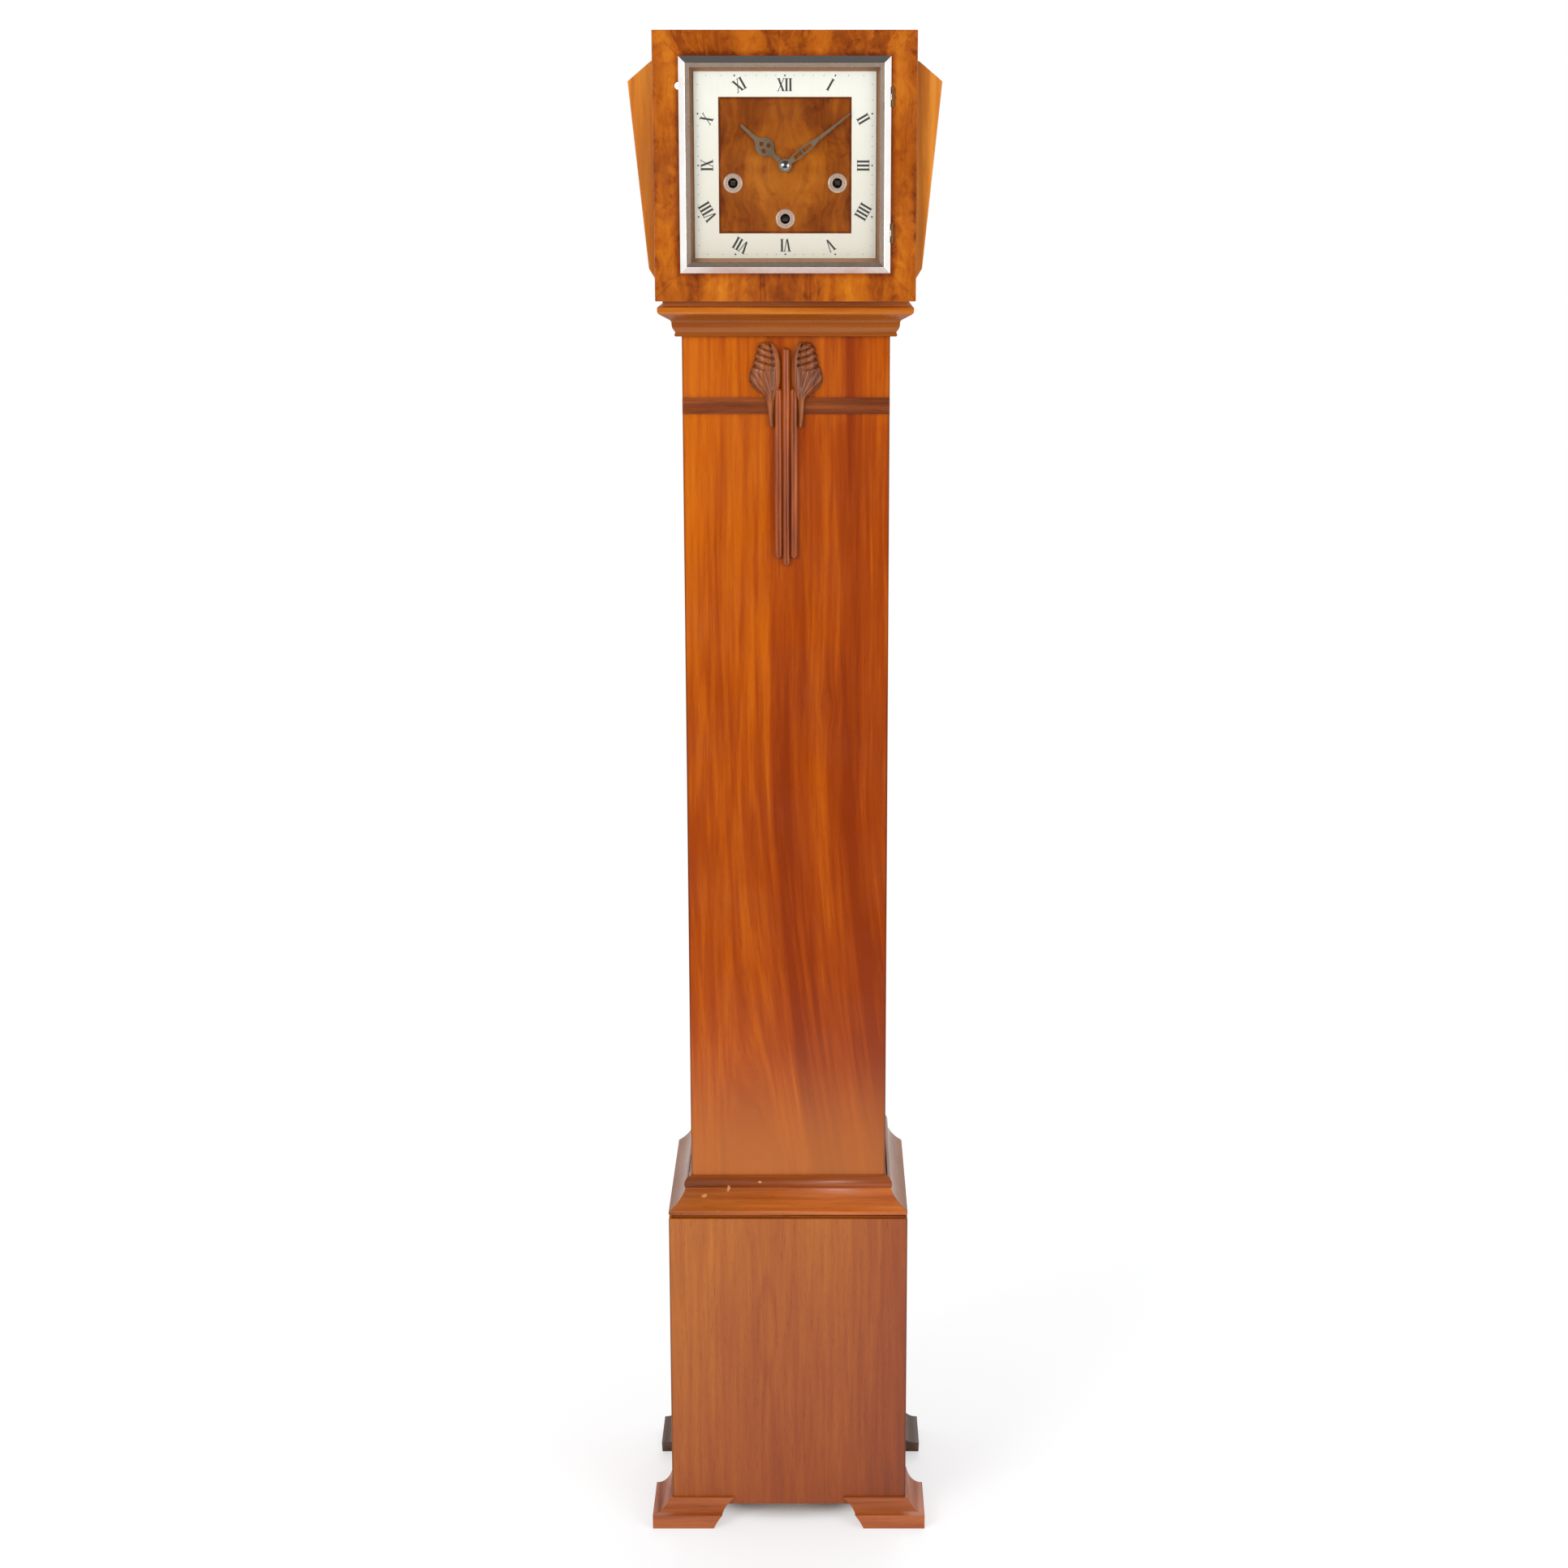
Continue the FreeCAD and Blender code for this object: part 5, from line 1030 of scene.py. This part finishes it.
def pillarEnds(lift):
    return bothSides(movement["pillarAcross"], movement["back"] + lift, movement["pillarHeights"])


def onPlate(places):
    return [(x, movement["back"], z, "back") for x, z in places]


placeMany("pillarScrews", cheeseHead(*movement["pillarHead"]), pillarEnds(movement["washer"][1]),
          "screwSteel")
placeMany("pillarWashers", disc(*movement["washer"]), pillarEnds(0), "brassWheel")
placeMany("plateScrews", cheeseHead(*movement["clampHead"]), onPlate(movement["clampPlaces"]),
          "screwSteel")
placeMany("cockScrews", cheeseHead(*movement["cockHead"]),
          bothSides(movement["cockAcross"], movement["cockFace"], movement["cockHigh"]),
          "screwSteel")
placeMany("oilSinks", lathe(movement["sink"], 32), onPlate(movement["pivots"]), "brassWheel")


# Chimes: screws in the cast block, brass collars on the rods, leather on the hammers' faces

chime = {
    "blockBack": 48.1, "blockHigh": [1306.8], "blockAcross": [44.0],
    "blockHead": (5.0, 2.6, 1.3, 1.2), "rods": (16.0, 26.0, 36.0), "rodBehind": 40.1,
    "rodTop": [1296.8], "collar": (3.6, 5.0, 0, 0.5, 20), "headFace": 36.6, "headHigh": [1271.0],
    "tip": (4.1, 0.0, -1.2, 0.4, 20),
}
placeMany("blockScrews", cheeseHead(*chime["blockHead"]),
          bothSides(chime["blockAcross"], chime["blockBack"], chime["blockHigh"]),
          "screwSteel")
placeMany("rodCollars", disc(*chime["collar"]),
          bothSides(chime["rods"], chime["rodBehind"], chime["rodTop"], "down"),
          "brassWheel")
placeMany("hammerTips", disc(*chime["tip"]),
          bothSides(chime["rods"], chime["headFace"], chime["headHigh"]),
          "hammerLeather", "hammers")


# Back door: a turned rosette behind the knob

doorRose = {
    "place": (91.4, 101.5, 1393.0, "back"), "segments": 40,
    "profile": [(0, 1.2), (5.6, 1.2), (6.2, 0.7), (7.0, 0.7), (7.8, 1.1), (8.8, 0.9), (9.5, 0)],
}
placeMany("knobRosette", lathe(doorRose["profile"], doorRose["segments"]), [doorRose["place"]],
          "bobBrass", "back_door")
print("small pieces: screws, sinks, collars, tips and rosette")


# Floor, light and camera

studio = {
    "floorSize": 9.0, "floorTone": (0.955, 0.97, 0.98), "floorFront": 1.5,
    "floorGrain": (0.3, 0.7, 0.985, 1.0), "near": (0.07, 0.115, 0.0, 0.5), "fade": (0.3, 1.6),
    # Place, diameter and power of each lamp
    "lamps": {"keyLamp": ((-2.1, -2.6, 1.9), 1.9, 56.0), "fillLamp": ((2.3, -2.3, 1.3), 1.8, 32.0),
              "backLamp": ((0.3, 2.4, 2.3), 1.8, 24.0)},
    "lampsAim": (0, 0, 0.8), "worldStrength": 0.80,
    # What shiny pieces see: a dim room in front, white cards at the sides and a grey ceiling
    "sideCards": (0.42, 0.85, 0.01, 1.0), "backCard": (0.0, 0.6, 0.0, 0.8),
    "ceiling": (0.25, 0.75), "ceilingGloss": 0.10,
}
view = {
    "place": (0.03173, -2.62229, 1.38541), "pitch": 90 - 13.14, "lens": 60.30,
    "shiftX": -0.0223, "shiftY": 0.0019,
}
white = (1, 1, 1, 1)


def makeFloor():
    material, tree, place = startMaterial("floorCard")
    grainy = between(noise(place, 3.0), *studio["floorGrain"])
    shade = addNode(tree, "ShaderNodeCombineColor", {
        index: grainy * part for index, part in enumerate(studio["floorTone"])})
    matt = addNode(tree, "ShaderNodeBsdfDiffuse", {"Color": shade.outputs[0]})
    # Away from the clock the card fades into the white behind it
    glow = addNode(tree, "ShaderNodeEmission", {"Color": white, "Strength": 1.0})
    away = addNode(tree, "ShaderNodeVectorMath", {0: place}, operation="LENGTH")
    away = Field(away.outputs["Value"])
    fade = calc("MAXIMUM", softly(away, *studio["near"]), softly(away, *studio["fade"]))
    rays = addNode(tree, "ShaderNodeLightPath").outputs
    showMix(tree, fade * rays["Is Camera Ray"], matt, glow)
    half = studio["floorSize"] / 2
    front = -studio["floorFront"]
    mesh = bpy.data.meshes.new("studioFloor")
    mesh.from_pydata([(-half, front, 0), (half, front, 0), (half, half, 0), (-half, half, 0)], [],
                     [(0, 1, 2, 3)])
    mesh.materials.append(material)
    addObject("studioFloor", mesh)


def makeLamp(name, place, size, power):
    lamp = bpy.data.lights.new(name, "AREA")
    lamp.shape = "DISK"
    lamp.size = size
    lamp.energy = power
    item = addObject(name, lamp)
    item.location = place
    aim = Vector(studio["lampsAim"]) - Vector(place)
    item.rotation_euler = aim.to_track_quat("-Z", "Y").to_euler()


def makeWorld():
    world = bpy.data.worlds.new("studioWorld")
    bpy.context.scene.world = world
    world.use_nodes = True
    tree = world.node_tree
    tree.nodes.clear()
    rays = addNode(tree, "ShaderNodeLightPath").outputs
    clear = calc("MAXIMUM", Field(rays["Is Camera Ray"]), rays["Is Transmission Ray"])
    x, y, z = splitAxes(Field(addNode(tree, "ShaderNodeTexCoord").outputs["Generated"]))
    level = calc("MAXIMUM", softly(abs(x), *studio["sideCards"]), softly(y, *studio["backCard"]))
    upward = softly(z, *studio["ceiling"])
    gloss = level * (1.0 - upward) + upward * studio["ceilingGloss"]
    shiny = Field(rays["Is Glossy Ray"])
    seen = shiny * gloss + (1.0 - shiny) * studio["worldStrength"]
    sky = addNode(tree, "ShaderNodeBackground", {
        "Color": white, "Strength": clear + (1.0 - clear) * seen})
    addNode(tree, "ShaderNodeOutputWorld", {"Surface": sky.outputs[0]})


def makeCamera():
    data = bpy.data.cameras.new("studioCamera")
    data.sensor_width = 36.0
    data.lens = view["lens"]
    data.shift_x = view["shiftX"]
    data.shift_y = view["shiftY"]
    item = addObject("studioCamera", data)
    item.location = view["place"]
    item.rotation_euler = (math.radians(view["pitch"]), 0, 0)
    bpy.context.scene.camera = item


makeFloor()
for lampName, settings in studio["lamps"].items():
    makeLamp(lampName, *settings)
makeWorld()
makeCamera()
bpy.context.scene.view_settings.view_transform = "Standard"
print("studio: floor, lamps and camera")
